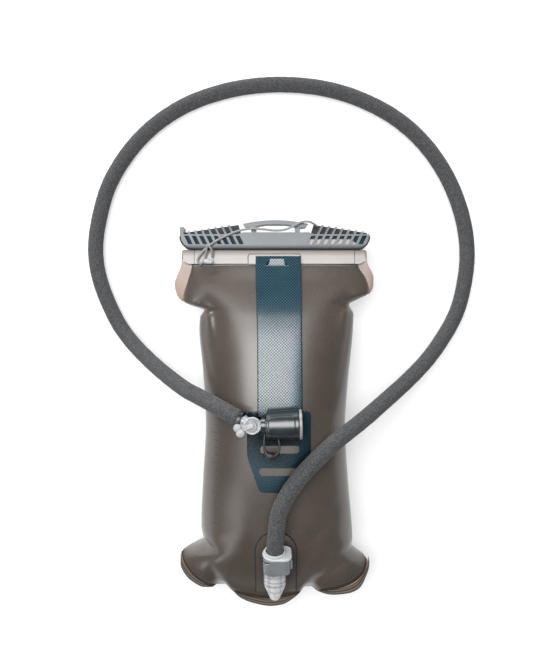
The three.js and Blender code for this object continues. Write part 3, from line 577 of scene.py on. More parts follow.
def dress(node, look, bevel):
    """Gives a CAD node its material, smooth shading and softly rounded edges."""
    obj = NODES[node]
    mesh = obj.data
    if "custom_normal" in mesh.attributes:
        mesh.attributes.remove(mesh.attributes["custom_normal"])
    mesh.polygons.foreach_set("use_smooth", [True] * len(mesh.polygons))
    mesh.materials.clear()
    mesh.materials.append(LOOKS[look])
    weld = obj.modifiers.new("weld", "WELD")
    weld.merge_threshold = 1e-6
    soften(obj, bevel)


def rounded(corners, steps=6):
    """An outline from (x, y, radius) corners, each corner cut by a smooth arc."""
    points = []
    for k, (x, y, radius) in enumerate(corners):
        here = np.array([x, y], float)
        before = np.array(corners[k - 1][:2], float) - here
        after = np.array(corners[(k + 1) % len(corners)][:2], float) - here
        start = here + before / np.linalg.norm(before) * radius
        end = here + after / np.linalg.norm(after) * radius
        for t in np.linspace(0, 1, steps if radius else 1):
            points.append((1 - t) ** 2 * start + 2 * t * (1 - t) * here + t**2 * end)
    return points


def plan_mesh(outline, holes, pitch):
    """A flat bmesh, in millimetres, of an outline with holes, cut into cells of the given pitch."""
    flat = bmesh.new()
    for loop in (outline, *holes):
        ring = [flat.verts.new((x, y, 0)) for x, y in loop]
        for a, b in zip(ring, ring[1:] + ring[:1]):
            flat.edges.new((a, b))
    bmesh.ops.triangle_fill(flat, use_beauty=True, edges=flat.edges[:], normal=(0, 0, 1))
    low, high = np.min(outline, 0), np.max(outline, 0)
    for axis in (0, 1):
        for cut in np.arange(low[axis] + pitch, high[axis], pitch):
            place, normal = [0, 0, 0], [0, 0, 0]
            place[axis], normal[axis] = cut, 1
            everything = flat.verts[:] + flat.edges[:] + flat.faces[:]
            bmesh.ops.bisect_plane(flat, geom=everything, plane_co=place, plane_no=normal, dist=1e-4)
    return flat


def plate_piece(name, outline, height, thickness, body, look, holes=(), pitch=3.0, edge=0.25,
                place=Matrix.Identity(4)):
    """A plate with rounded edges that follows a height function; height gives its top."""
    flat = plan_mesh(outline, holes, pitch)
    xy = np.array([v.co[:2] for v in flat.verts])
    for vert, z in zip(flat.verts, height(xy[:, 0], xy[:, 1])):
        vert.co.z = z
    bmesh.ops.recalc_face_normals(flat, faces=flat.faces[:])
    if sum(f.normal.z for f in flat.faces) < 0:
        bmesh.ops.reverse_faces(flat, faces=flat.faces[:])
    bmesh.ops.solidify(flat, geom=flat.faces[:], thickness=thickness)
    bmesh.ops.recalc_face_normals(flat, faces=flat.faces[:])
    bmesh.ops.transform(flat, matrix=place, verts=flat.verts[:])
    bmesh.ops.scale(flat, vec=(MM, MM, MM), verts=flat.verts[:])
    mesh = bpy.data.meshes.new(name)
    flat.to_mesh(mesh)
    flat.free()
    piece = shown(name, mesh, body, look)
    soften(piece, edge, 50)
    return piece


# ---------------------------------------------------------------- the bag's shape

BAG_TOP_Y = 146.4
LEFT_EDGE = [
    (-190, -92), (-134, -91), (-129.5, -86), (-124.5, -73), (-121, -66.5), (-115, -69.5), (-105, -71),
    (-60, -69), (-5, -66.2), (45, -69), (84, -72.3), (96, -71.5), (103.5, -67.5), (107, -79),
    (112, -87.5), (117, -87), (129, -83.5), (146.4, -79),
]
RIGHT_EDGE = [
    (-190, 93), (-146, 92.5), (-138, 89), (-131, 80), (-125.5, 75.3), (-118, 76.4), (-110, 76),
    (-56, 71.2), (-7, 68.6), (32, 71.2), (86, 76.2), (99, 76.5), (108.5, 72), (113, 80),
    (119.5, 91), (123, 90.9), (133, 87.9), (146.4, 80.5),
]
BOTTOM_EDGE = [
    (-92, -134), (-87, -144), (-79, -153), (-70, -160.5), (-61, -164.8), (-54, -161.6), (-47, -161.6),
    (-39, -170), (-25, -175.3), (-6, -178), (12, -175.8), (23, -172), (30, -164.4), (36, -164.4),
    (44, -169.6), (56, -168.6), (68, -165.5), (80, -159.5), (88, -150), (92.5, -138),
]
# The same two edges without their notches, which is what the middle of the film follows.
LEFT_SOFT = [
    (-190, -92), (-140, -89), (-115, -76), (-60, -69), (-5, -66.2), (45, -69), (90, -73), (110, -77.5),
    (130, -83.5), (146.4, -80),
]
RIGHT_SOFT = [
    (-190, 93), (-146, 91.5), (-118, 81), (-56, 71.2), (-7, 68.6), (32, 71.2), (90, 77.5), (112, 82),
    (128, 87), (146.4, 82),
]
SOFT_DEPTH = 24                       # how far in from the edge the notches are no longer felt
SIDE_POWER = [(-150, 4.5), (-110, 2.5)]
WELD_DULL = 27                        # width of the duller film along the bottom weld
NOTCHES = (-48, 34)                   # the two dips between its lobes, where the film stays shiny
NOTCH_WIDTH = 8
SEAM_HALF = 1.15                      # half the thickness of the welded edge
SEAM_HEIGHT = [(-185, 30), (-120, 32), (-60, 36), (60, 37), (104, 41.5), (120, 44), (146, 45)]
FRONT_CROWN = [
    (-188, 40), (-178, 45), (-165, 52), (-140, 64.5), (-100, 75), (-50, 78.5), (10, 79), (60, 76), (95, 69.5),
    (125, 59.5), (146, 49.2), (158, 43.5),
]
BACK_CROWN = [(-178, 29), (-165, 10), (-145, -3), (-110, -8), (60, -8), (92, -2), (120, 17), (146, 41)]


def eased(t):
    t = np.clip(t, 0, 1)
    return t * t * (3 - 2 * t)


def fullness(x, y, power, rim, steep):
    """1 over the middle of the bag, falling to 0 at its edges, over a rim at the lobed end."""
    left, right = smooth(LEFT_EDGE, y), smooth(RIGHT_EDGE, y)
    left += eased((x - left) / SOFT_DEPTH) * (smooth(LEFT_SOFT, y) - left)
    right += eased((right - x) / SOFT_DEPTH) * (smooth(RIGHT_SOFT, y) - right)
    across = (x - left) / (right - left)
    side = np.clip(np.abs(2 * across - 1), 0, 1)
    end = np.clip((y - smooth(BOTTOM_EDGE, x)) / rim, 0, 1)
    return (1 - side**power) ** 0.55 * (end * (2 - end)) ** steep


def front_height(x, y):
    seam = smooth(SEAM_HEIGHT, y) + SEAM_HALF
    crown = np.maximum(smooth(FRONT_CROWN, y), seam)
    return seam + (crown - seam) * fullness(x, y, smooth(SIDE_POWER, y), rim=13, steep=0.45)


def back_height(x, y):
    seam = smooth(SEAM_HEIGHT, y) - SEAM_HALF
    crown = np.minimum(smooth(BACK_CROWN, y), seam)
    return np.maximum(0, seam - (seam - crown) * fullness(x, y, 4, rim=40, steep=0.6))


def bag_point(u, v):
    """Plan position for u across the bag and v from the lobed edge to the mouth."""
    x = np.zeros(np.broadcast(u, v).shape)
    for _ in range(60):
        y = smooth(BOTTOM_EDGE, x) * (1 - v) + BAG_TOP_Y * v
        x = 0.6 * x + 0.4 * (smooth(LEFT_EDGE, y) * (1 - u) + smooth(RIGHT_EDGE, y) * u)
    return x, y


# Folds in the front film: a line of points, half width and height, negative for a valley.
FOLDS = [
    ([(-64, 106.5), (-56, 101), (-53, 91), (-54, 74)], 7.5, -2.4),
    ([(-64.5, 106), (-61.5, 99), (-60, 88), (-57, 74)], 4.2, 2.4),
    ([(-70.5, 107), (-68.5, 101)], 3.2, -2.0),
    ([(69, 111), (61, 105), (57, 95), (57, 80)], 7.5, -2.4),
    ([(69.5, 107), (67, 98), (65, 86)], 4.2, 2.0),
    ([(-50, -122), (-32, -112), (-18, -106)], 20.0, 4.5),
    ([(-66, -122), (-56, -119), (-46, -112)], 6.5, -2.0),
    ([(-51, -160), (-55, -148), (-61, -134), (-62, -126)], 5.5, -3.6),
    ([(-44, -158), (-42, -142), (-38, -128)], 6.0, 1.6),
    ([(33, -162), (42, -150), (56, -138), (68, -130)], 6.0, -3.4),
    ([(27, -156), (32, -138), (44, -122)], 7.0, 1.6),
    ([(70, -120), (58, -110), (50, -98)], 7.0, 1.6),
    ([(38, -104), (50, -92), (58, -80)], 7.0, -1.4),
]
# The strips along Y without folds, under the strap and the port: middle, half width, and the distance
# from its side over which the folds come up to their height.
BESIDE_STRAP = (4.6, 29.5, 11)
BESIDE_PORT = (1.4, 19.5, 12)
PORT_END_Y = -66                      # below it the port's strip counts, above it the strap's
PORT_END_FADE = 12
FOLD_MARGIN = 5


def distance_to(line, x, y):
    """Distance from points to a line of points, and how far along it the nearest point is, 0 to 1."""
    line = np.asarray(line, float)
    best, place, gone = np.full(x.shape, 1e9), np.zeros(x.shape), 0.0
    total = np.linalg.norm(np.diff(line, axis=0), axis=1).sum()
    for a, b in zip(line, line[1:]):
        step = b - a
        length = np.linalg.norm(step)
        t = np.clip(((x - a[0]) * step[0] + (y - a[1]) * step[1]) / length**2, 0, 1)
        away = np.hypot(x - a[0] - t * step[0], y - a[1] - t * step[1])
        nearer = away < best
        best = np.where(nearer, away, best)
        place = np.where(nearer, (gone + t * length) / total, place)
        gone += length
    return best, place


def folds(x, y):
    """Height of all folds, kept off the edges of the bag and off what is welded on it."""
    total = np.zeros(x.shape)
    for line, width, height in FOLDS:
        away, place = distance_to(line, x, y)
        total += height * np.exp(-((away / width) ** 2)) * (1 - 0.75 * place)
    left, right = smooth(LEFT_EDGE, y), smooth(RIGHT_EDGE, y)
    inward = np.minimum(np.minimum(x - left, right - x), y - smooth(BOTTOM_EDGE, x))
    rim = np.clip(inward / FOLD_MARGIN, 0, 1)
    strap, port = (eased((np.abs(x - middle) - half) / fade)
                   for middle, half, fade in (BESIDE_STRAP, BESIDE_PORT))
    low = eased((PORT_END_Y - y) / PORT_END_FADE)
    return total * rim * (port * low + strap * (1 - low))


def film_height(x, y):
    y = np.minimum(y, BAG_TOP_Y)
    return front_height(x, y) + folds(x, y)


def film_skin(x, y):
    """The smooth film under the pieces that are welded on it."""
    return front_height(x, np.minimum(y, BAG_TOP_Y))


# ---------------------------------------------------------------- pieces


def film_bag():
    rows, columns = 230, 160
    t = np.linspace(0, 1, columns)
    # The grid is finer towards the sides and the lobed end.
    us = 0.35 * t + 0.65 * (0.5 - 0.5 * np.cos(math.pi * t))
    vs = np.linspace(0, 1, rows) ** 1.15
    u, v = np.meshgrid(us, vs)
    x, y = bag_point(u, v)
    seam = smooth(SEAM_HEIGHT, y)
    front, back = film_height(x, y), back_height(x, y)
    edge = np.zeros(x.shape, bool)
    edge[:, 0] = edge[:, -1] = edge[0] = True
    front[edge] = back[edge] = seam[edge]
    top = np.stack([x, y, front], -1).reshape(-1, 3)
    low = np.stack([x, y, back], -1).reshape(-1, 3)
    count = rows * columns
    rim = range(count - columns, count - 1)
    mouth = [(k, k + count, k + count + 1, k + 1) for k in rim]
    shared = {count + k: k for k in np.flatnonzero(edge.ravel())}
    faces = [*grid_faces(rows, columns), *grid_faces(rows, columns, count, flip=True), *mouth]
    faces = [list(dict.fromkeys(shared.get(int(k), int(k)) for k in f)) for f in faces]
    faces = [f for f in faces if len(f) > 2]
    used = sorted({k for f in faces for k in f})
    index = {k: n for n, k in enumerate(used)}
    points = np.concatenate([top, low])[used]
    inside = np.clip((y - smooth(BOTTOM_EDGE, x)) / WELD_DULL, 0, 1)
    trough = sum(np.exp(-(((x - notch) / NOTCH_WIDTH) ** 2)) for notch in NOTCHES)
    near_weld = (1 - eased(inside)) * (1 - trough)       # read by the film's look as the map's second value
    uvs = np.tile(np.stack([np.zeros(count), near_weld.ravel()], -1), (2, 1))[used]
    bag = mesh_piece("film_bag", points, [[index[k] for k in f] for f in faces], "reservoir",
                     "film", uvs)
    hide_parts("front_panel", "back_panel")


# Points of the bottom weld, outer edge and inner edge, from left to right.
HEM = [
    (-92.4, -138, -91.2, -136), (-92.6, -147, -88, -142.5), (-88, -157.5, -82, -150.5),
    (-80, -165, -75, -157), (-70, -169.3, -67, -162.6), (-61.5, -168.8, -60.5, -164.8),
    (-55, -165.4, -54.5, -162), (-47, -165.6, -47, -161.8), (-40, -173.4, -40, -169),
    (-33.9, -179.5, -32, -173.2), (-21, -185.5, -20, -176.4), (-5.5, -188.2, -6, -178),
    (8, -186, 8, -176.8), (17, -181, 17, -174.5), (24, -175.5, 24, -171.2),
    (30.5, -168.4, 29.5, -165), (36, -168.4, 36, -164.6), (43, -173.6, 43, -169),
    (56.9, -177.5, 56, -168.8), (73.3, -175.3, 69, -165.3), (84, -169.5, 79, -160.2),
    (89.5, -160, 86, -152.5), (93.2, -149, 91.4, -145.5), (93.5, -143, 92.6, -140),
]
HEM_BANDS = 4
HEM_TOP = 30.4
HEM_LAP = 1.2                         # how far it reaches in over the film
HEM_WAVE = (1.3, 11)                  # height and length of the waves of its free edge
HEM_DROOP = 1.2


def bottom_hem():
    keys = np.arange(len(HEM))
    run = np.linspace(0, len(HEM) - 1, 330)
    outer_x, outer_y, inner_x, inner_y = (smooth(list(zip(keys, column)), run) for column in zip(*HEM))
    across = np.linspace(0, 1, 33)[:, None]
    x = outer_x * across + inner_x * (1 - across)
    y = outer_y * across + (inner_y + HEM_LAP) * (1 - across)
    width = np.hypot(outer_x - inner_x, outer_y - inner_y)
    ridge = 0.07 * width * np.abs(np.sin(math.pi * HEM_BANDS * across))
    sag = HEM_WAVE[0] * np.sin(outer_x / HEM_WAVE[1]) * across - HEM_DROOP * across**2
    tops = HEM_TOP + ridge + sag
    tops[0] -= 0.5
    tops[-1] -= 0.3
    # Along the hem the map holds a hundredth of the number of the point in HEM.
    uvs = np.stack(np.broadcast_arrays(run * 0.01, across), -1)
    hem = slab_piece("bottom_hem", x[::-1], y[::-1], tops[::-1], 1.0, "reservoir",
                     "weld", uvs[::-1])
    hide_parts("bottom_weld")


# Outer edge of the clear flange at the mouth: x against y, for the left and the right side.
FLANGE_LEFT = [
    (111.5, -88.6), (115, -91.8), (121, -94.4), (128, -95.4), (136, -93), (142, -90.4), (148, -88.7),
    (155, -88.5), (159.4, -88.3),
]
FLANGE_RIGHT = [
    (118.5, 91.6), (122, 94), (127.5, 95.3), (133.7, 95.3), (140, 93.4), (144, 91), (149, 89.2),
    (155, 88.9), (159.4, 88.7),
]
FLANGE_FOOT = 112
FLANGE_TAPER = 34                     # over this length from its foot it spreads and lifts
FLANGE_TOP = 44.4
TAB_FOOT = 149.6                      # above it the flanges are narrow strips beside the rail's end tabs


def mouth_flange(name, edge, outer_edge, side):
    y = np.linspace(outer_edge[0][0], outer_edge[-1][0], 60)[:, None]
    across = np.linspace(0, 1, 14)[None, :]
    outer = smooth(outer_edge, y)
    inner = np.where(y > TAB_FOOT, outer - side * 1.2, smooth(edge, y) - side * 1.0)
    x = inner * (1 - across) + outer * across
    height = np.clip((y - FLANGE_FOOT) / FLANGE_TAPER, 0, 1)
    ripple = 0.15 * np.sin(math.pi * across) * np.sin(y / 5)
    tops = FLANGE_TOP + 0.9 * height * across - 0.5 * across**2 + ripple
    ys = np.broadcast_to(y, x.shape)
    uvs = np.stack(np.broadcast_arrays(height, across), -1)
    if side < 0:
        x, ys, tops, uvs = x[:, ::-1], ys[:, ::-1], tops[:, ::-1], uvs[:, ::-1]
    flange = slab_piece(name, x, ys, tops, 0.7, "reservoir", "flange", uvs)
    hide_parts("mouth_" + name.replace("film_", ""))


STRAP_LEFT = [(5, -14.6), (70, -15), (153.7, -17.4)]
STRAP_RIGHT = [(5, 26), (153.7, 25.4)]
STRAP_ENDS = (5, 153.7)
STRAP_TOP = 3.2
STRAP_LIFT = 2.6                      # how far the strap stands off above its slit
STRAP_LIFT_FROM = 128
SLIT_Y = 144.5
SLIT_X = (-8, 13)
SCOOP_TOP = 151


def strap_height(x, y):
    """Top of the strap, with the scoop above the slit near its upper end and the slit's raised lip."""
    middle, half = (SLIT_X[0] + SLIT_X[1]) / 2, (SLIT_X[1] - SLIT_X[0]) / 2
    up = np.clip((y - SLIT_Y) / (SCOOP_TOP - SLIT_Y), 0, 1)
    spread = eased((half * (1 - 0.3 * up) - np.abs(x - middle)) / 1.8)
    fall = STRAP_LIFT / (STRAP_ENDS[1] - BAG_TOP_Y)
    rise = STRAP_LIFT * eased((y - STRAP_LIFT_FROM) / (BAG_TOP_Y - STRAP_LIFT_FROM))
    skin = film_skin(x, y) + np.where(y < BAG_TOP_Y, rise, fall * (STRAP_ENDS[1] - y))
    deep = skin - film_skin(x, BAG_TOP_Y + 0 * y) - fall * (STRAP_ENDS[1] - SCOOP_TOP)
    scoop = np.where(y >= SLIT_Y, -np.maximum(deep, 0) * spread, 0.35 * spread * np.exp((y - SLIT_Y) / 1.2))
    rim = np.clip(np.minimum(x - smooth(STRAP_LEFT, y), smooth(STRAP_RIGHT, y) - x) / 0.8, 0, 1)
    return skin + STRAP_TOP + scoop - 0.35 * (1 - rim) ** 2


def hand_strap():
    columns = np.linspace(0, 1, 75)
    low, high = STRAP_ENDS
    rows = np.concatenate([np.linspace(low, SLIT_Y - 0.02, 220), np.linspace(SLIT_Y, high, 30)])
    across, y = np.meshgrid(columns, rows)
    x = smooth(STRAP_LEFT, y) * (1 - across) + smooth(STRAP_RIGHT, y) * across
    strap = slab_piece("hand_strap", x, y, strap_height(x, y), 1.2, "reservoir", "strap")
    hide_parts("grip_strap")


STITCH_PITCH = 1.9
STITCH_INSET = 0.55


def strap_stitches():
    """The dark dots along both edges of the strap, a flat bead each."""
    points, faces = [], []
    for side, inset in ((STRAP_LEFT, STITCH_INSET), (STRAP_RIGHT, -STITCH_INSET)):
        for y in np.arange(STRAP_ENDS[0] + 3, SLIT_Y - 2, STITCH_PITCH):
            x = float(smooth(side, y)) + inset
            z = float(strap_height(np.array(x), np.array(y)))
            start = len(points)
            ring = [(x + 0.42 * math.cos(a), y + 0.55 * math.sin(a), z - 0.05)
                    for a in np.linspace(0, 2 * math.pi, 8, endpoint=False)]
            points += [*ring, (x, y, z + 0.16)]
            faces += [(start + k, start + (k + 1) % 8, start + 8) for k in range(8)]
            faces.append(tuple(start + k for k in reversed(range(8))))
    mesh_piece("strap_stitches", points, faces, "reservoir", "thread")


PLATE_OUTLINE = [
    (-12.7, -63.3, 4), (21.9, -63.3, 4), (33.5, -30.9, 5), (33.5, 9.8, 3.6), (-24.3, 9.8, 3.6),
    (-24.3, -30.9, 5),
]
PLATE_HOLES = [
    [(-12.6, -28.1, 3.4), (23.2, -28.1, 3.4), (23.2, -20.9, 3.4), (-12.6, -20.9, 3.4)],
    [(-11.4, -48.2, 0.8), (20.6, -48.2, 0.8), (23.2, -44.4, 0.6), (21, -41, 0.8), (-12, -41, 0.8),
     (-14, -44.4, 0.6)],
]


def strap_plate():
    plate = plate_piece(
        "strap_plate", rounded(PLATE_OUTLINE), lambda x, y: film_skin(x, y) + 1.5, 1.0, "reservoir",
        "strap", [rounded(hole) for hole in PLATE_HOLES])
    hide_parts("strap_base_plate")


PATCH_MIDDLE = (1.8, -119)            # centre of the arch at its upper end
PATCH_HALF = 18.9
PATCH_ARCH = 19.5


def port_patch():
    x0, y0 = PATCH_MIDDLE
    turns = np.linspace(0, math.pi, 25)
    arch = [(x0 + PATCH_HALF * math.cos(a), y0 + PATCH_ARCH * math.sin(a)) for a in turns]
    sides = np.arange(-163, -122, 4)
    outline = [*[(x0 + PATCH_HALF, y) for y in sides], *arch, *[(x0 - PATCH_HALF, y) for y in sides[::-1]]]
    patch = plate_piece(
        "port_patch", outline, lambda x, y: film_skin(x, y) + 1.0, 1.0, "reservoir",
        "film", pitch=3.5, edge=0.3)
    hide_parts("port_weld_patch")
    path, _ = catmull([(x, y, float(film_skin(np.array(x), np.array(y))) + 0.9) for x, y in outline], 240)
    tube_piece("port_patch_edge", path, 0.45, 8, "reservoir", "thread")


FILL_LINE_X = (-50.5, -17)
FILL_LINE_Y = 132
DOT, DOT_PITCH = 0.6, 1.75
TICK_X = -52                          # their right end
TICK_Y = (-96, 44)
TICK_PITCH = 7
TICK_LENGTHS = (6.5, 3.4)             # every fourth tick is a long one
TICK_WIDTH = 0.8
TICK_STEP = 0.5                       # a tick is laid in steps, so that it follows the film


def printed_marks():
    """A dotted fill line and a ladder of plain volume ticks, printed on the film."""
    points, faces = [], []

    def print_patch(x0, x1, y0, y1):
        start = len(points)
        for x, y in ((x0, y0), (x1, y0), (x1, y1), (x0, y1)):
            points.append((x, y, float(film_height(np.array(x), np.array(y))) + 0.12))
        faces.append((start, start + 1, start + 2, start + 3))

    for x in np.arange(*FILL_LINE_X, DOT_PITCH):
        print_patch(x, x + DOT, FILL_LINE_Y, FILL_LINE_Y + DOT)
    for k, y in enumerate(np.arange(*TICK_Y, TICK_PITCH)):
        length = TICK_LENGTHS[0] if k % 4 == 0 else TICK_LENGTHS[1]
        for step in np.arange(0, length, TICK_STEP):
            print_patch(TICK_X - step - TICK_STEP, TICK_X - step, y, y + TICK_WIDTH)
    mesh_piece("printed_marks", points, faces, "reservoir", "ink")


HOSE_ROUTE = [
    (1, -121.5, 85.3), (1, -113.2, 87.9), (1.6, -102.5, 91), (5.2, -76, 94.2), (13.5, -59.6, 94),
    (25.9, -43.6, 91.5), (51.2, -20.5, 83), (81.8, 0.9, 69.5), (105.6, 17.6, 54), (129.8, 35.3, 38),
    (151.6, 54.2, 24), (168.7, 74, 14), (181.7, 94.3, 9.2), (189.8, 114.7, 7.7), (196.5, 157.6, 7.6),
    (192.4, 196.4, 7.6), (177.6, 237.2, 7.6), (152.6, 274.5, 7.6), (117.9, 304.1, 7.6),
    (66.8, 326.7, 7.6), (10.7, 334.6, 7.6), (-45.4, 329.1, 7.6), (-96.5, 310.5, 7.6),
    (-137.3, 279.1, 7.6), (-166.9, 236.2, 7.6), (-179.1, 196.4, 7.6), (-182.6, 165.8, 7.6),
    (-178.1, 135.2, 7.6), (-160.8, 94.3, 8.5), (-145.8, 74, 13), (-123.9, 54.2, 26),
    (-96.9, 36.1, 48), (-81.4, 27.7, 61.5), (-66.5, 21.9, 74.3),
    (-53.7, 16.9, 84.5), (-41.4, 10.9, 90.8), (-31, 5.8, 93.3),
]
HOSE_D = 15
TETHER_ROUTE = [
    (41, 183.2, 45), (37.5, 184.6, 50.5), (33, 186, 53.4), (26, 185.6, 53.6), (19, 182.2, 53.2),
    (11, 178.8, 53.6), (2, 177.6, 53.8), (-10, 178.8, 53.6), (-22, 179.4, 53.4), (-32, 177.6, 54),
    (-42, 174, 54.2), (-54, 168, 54.4), (-62, 162.4, 54.6), (-68.5, 156.5, 53.2), (-72.5, 149.5, 51.4),
    (-70, 146.4, 51), (-66.6, 149.6, 51.2), (-64.4, 156, 53), (-62.2, 163.2, 56.9),
    (-58.8, 159.2, 55.6), (-58.4, 152.6, 51.6),
]
CORD_D = 2


def hose_sleeve():
    path, length = catmull(HOSE_ROUTE, 620)
    segments = 36
    rng = np.random.default_rng(7)
    fuzz = rng.normal(0, 0.06, (len(path), segments))
    fuzz = (fuzz + np.roll(fuzz, 1, 0) + np.roll(fuzz, 1, 1)) / 1.7
    sleeve = tube_piece("hose_sleeve", path, HOSE_D / 2 + fuzz, segments, "drink_line", "sleeve")
    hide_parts("insulation_sleeve")


def bar_tether():
    path, length = catmull(TETHER_ROUTE, 260)
    tether = tube_piece("bar_tether", path, CORD_D / 2, 14, None, "cord")
    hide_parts("tether_cord")
    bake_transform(tether)


def flat(x, y):
    return np.zeros(np.shape(x))


def circle(x, y, radius, count=40, start=0.0, turn=2 * math.pi):
    """Points round a circle, or along part of one."""
    angles = start + turn * np.arange(count) / (count if turn == 2 * math.pi else count - 1)
    return [(x + radius * math.cos(a), y + radius * math.sin(a)) for a in angles]


PORT_PLACE = Matrix.Translation((1, -131, 82.4)) @ Matrix.Rotation(math.radians(17), 4, "X")
COLLAR_SIDES = (-10.4, 13.6)
COLLAR_HALF = 9.4
COLLAR_CORNER = 5.5
FLANGE_AT = (15.1, 17.5)              # along the port's axis
HOSE_HOLE = 7.9


def across_port(start):
    """Turns a plate that lies flat so that it stands across the port's axis and goes on from start."""
    return PORT_PLACE @ Matrix.Translation((0, start, 0)) @ Matrix.Rotation(math.pi / 2, 4, "X")


def plug_collar():
    left, right = COLLAR_SIDES
    body = rounded([
        (left, -COLLAR_HALF, COLLAR_CORNER), (right, -COLLAR_HALF, COLLAR_CORNER),
        (right, COLLAR_HALF, COLLAR_CORNER), (left, COLLAR_HALF, COLLAR_CORNER)], 9)
    grip = plate_piece(
        "collar_body", body, flat, FLANGE_AT[0] - 0.3, "drink_line", "collar",
        [circle(0, 0, HOSE_HOLE)], 40, 0.7, across_port(0.3))
    wide = COLLAR_HALF + 0.8
    flange = circle(-0.8, 0, wide, 25, math.pi / 2, math.pi)
    flange += rounded([
        (9.2, -wide, 0), (right + 1.3, -wide + 1.4, 5), (right + 1.3, wide - 1.4, 5), (9.2, wide, 0)], 9)
    # The flange is paler than the body: partly painted light, for its top, which faces the light from beyond
    # the mouth.
    plate_piece(
        "collar_flange", flange, flat, FLANGE_AT[1] - FLANGE_AT[0], "drink_line",
        "pale", [circle(0, 0, HOSE_HOLE)], 40, 0.7, across_port(FLANGE_AT[0]))
    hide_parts("plug_collar")


def collar_slot():
    """The release slot on the collar's shoulder, drawn as a dark tube of painted shade, and the pale lip
    under it.
    """
    slot, lip = ("collar_slot", 13.4, 0.75, "thread"), ("collar_slot_lip", 12.2, 0.4, "pale")
    for name, along, radius, look in (slot, lip):
        corner = circle(COLLAR_SIDES[0] + COLLAR_CORNER, COLLAR_HALF - COLLAR_CORNER, COLLAR_CORNER - 0.1, 12,
                        math.radians(165), math.radians(-75))
        path = np.array([PORT_PLACE @ Vector((x, along, z)) for x, z in corner])
        tube_piece(name, path, radius, 10, "drink_line", look)


VALVE_PLACE = Matrix.Translation((-18.5, -0.3, 96.2)) @ Matrix.Rotation(math.radians(1.5), 4, "Z")
ALONG_X = Matrix.Rotation(math.pi / 2, 4, "Y")
CAP_INSIDE = [(0, 38.5), (9.6, 38.5), (10.3, 37.8), (10.3, 13.2), (10.6, 12.4), (11.2, 12.1), (11.6, 12.4)]
CAP_WALL = [(12.6, 11.9), (19, 12.15), (29, 12.7), (36.4, 13), (39.6, 13.2), (40.2, 13.2)]
CAP_END = [(12.9, 40.5), (0, 40.5)]
CAP_BORE = 11.7                       # every radius of its inside is smaller
PANEL_TURN = math.radians(184)        # turned a little away from straight up
PANEL_AT = 25.6                       # along the cap
PANEL_HALF = (12.2, math.radians(52))
PANEL_RISE = 0.4


def panel_bulge(radius, height, angle):
    """The raised panel with round corners on the front of the cap."""
    if radius <= CAP_BORE:
        return 0
    turn = (angle - PANEL_TURN + math.pi) % (2 * math.pi) - math.pi
    along, around = abs(height - PANEL_AT) / PANEL_HALF[0], abs(turn) / PANEL_HALF[1]
    return PANEL_RISE * float(eased((1 - (along**6 + around**6) ** (1 / 6)) / 0.13))


def dust_cap():
    heights = np.linspace(CAP_WALL[0][0], CAP_WALL[-1][0], 80)
    wall = [(float(smooth(CAP_WALL, height)), height) for height in heights]
    cap = lathe_piece("cap_shell", CAP_INSIDE + wall + CAP_END, VALVE_PLACE @ ALONG_X, "dust_cap",
                      "black", 120, panel_bulge)
    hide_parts("dust_cap")


KEEPER_ROUTE = [
    (10.6, -7.4, -1), (10.2, -11, -0.4), (9.8, -15, 0), (9.9, -19.2, 0), (11, -23.4, 0), (13.4, -26.2, 0),
    (16.6, -27, 0), (19.8, -26.2, 0), (22.1, -23.4, 0), (23.1, -19.2, 0), (22.9, -15, 0), (22.2, -11.6, -1),
]
KEEPER_THICK = [(0, 0.9), (0.3, 1.1), (0.4, 2.1), (0.52, 3.3), (0.64, 2.1), (0.76, 1.1), (1, 0.9)]


def keeper_loop():
    path, _ = catmull([VALVE_PLACE @ Vector(p) for p in KEEPER_ROUTE], 120)
    radii = smooth(KEEPER_THICK, np.linspace(0, 1, len(path)))
    loop = tube_piece("keeper_ring", path, np.repeat(radii[:, None], 20, 1), 20, "dust_cap",
                      "seal")
    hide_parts("keeper_loop")


KNOB_RING = [
    (0, -3.8), (5, -3.8), (5, 5.2), (7.2, 5.3), (7.6, 5.7), (7.6, 7.6), (7.3, 8.1), (6.7, 8.2),
    (6.3, 7.9), (6.1, 7.0), (5.8, 6.6), (0, 6.6),
]
KNOB_BOSS = [
    (0, 6.4), (4.9, 6.6), (4.8, 7.6), (4.5, 8.5), (4.1, 8.8), (3.8, 8.4), (3.5, 7.9), (3.1, 7.9),
    (2.8, 8.5), (2.5, 9.3), (1.8, 9.6), (0, 9.6),
]
KNOB_ARM = [(-1, 1.7, 1), (-9, 2.6, 1.2), (-12.4, 0.6, 1), (-9.2, -5, 1), (-1, -0.8, 1)]
LOBES = [(-12.4, -0.3, 3.6), (-9.9, -4.6, 4.0)]


def knob_turning(name, profile, x, y, look, segments):
    """A part of the knob turned about an upright axis at (x, y) from the valve's centre."""
    place = VALVE_PLACE @ Matrix.Translation((x, y, 0))
    return lathe_piece(name, profile, place, "shutoff", look, segments)


def shutoff_knob():
    ring = knob_turning("knob_ring", KNOB_RING, 0.3, 0.9, "clear", 64)
    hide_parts("shutoff_knob")
    knob_turning("knob_boss", KNOB_BOSS, -0.6, 0.6, "frost", 40)
    plate_piece("knob_arm", rounded(KNOB_ARM, 5), lambda x, y: 9.7 + 0.04 * x, 2.2, "shutoff",
                "frost", (), 4, 0.6, VALVE_PLACE)
    for k, (x, y, radius) in enumerate(LOBES):
        lobe = [
            (0, 7.2), (radius * 0.8, 7.3), (radius * 0.97, 8.2), (radius, 9.4), (radius * 0.97, 10.6),
            (radius * 0.86, 11.2), (radius * 0.6, 11.4), (0, 11.4),
        ]
        knob_turning(f"knob_lobe_{k + 1}", lobe, x, y, "frost", 32)


ANCHOR_SIDES = (-25.3, 25.6)
ANCHOR_ENDS = (145.9, 156.6)
ANCHOR_TOP = 50.1


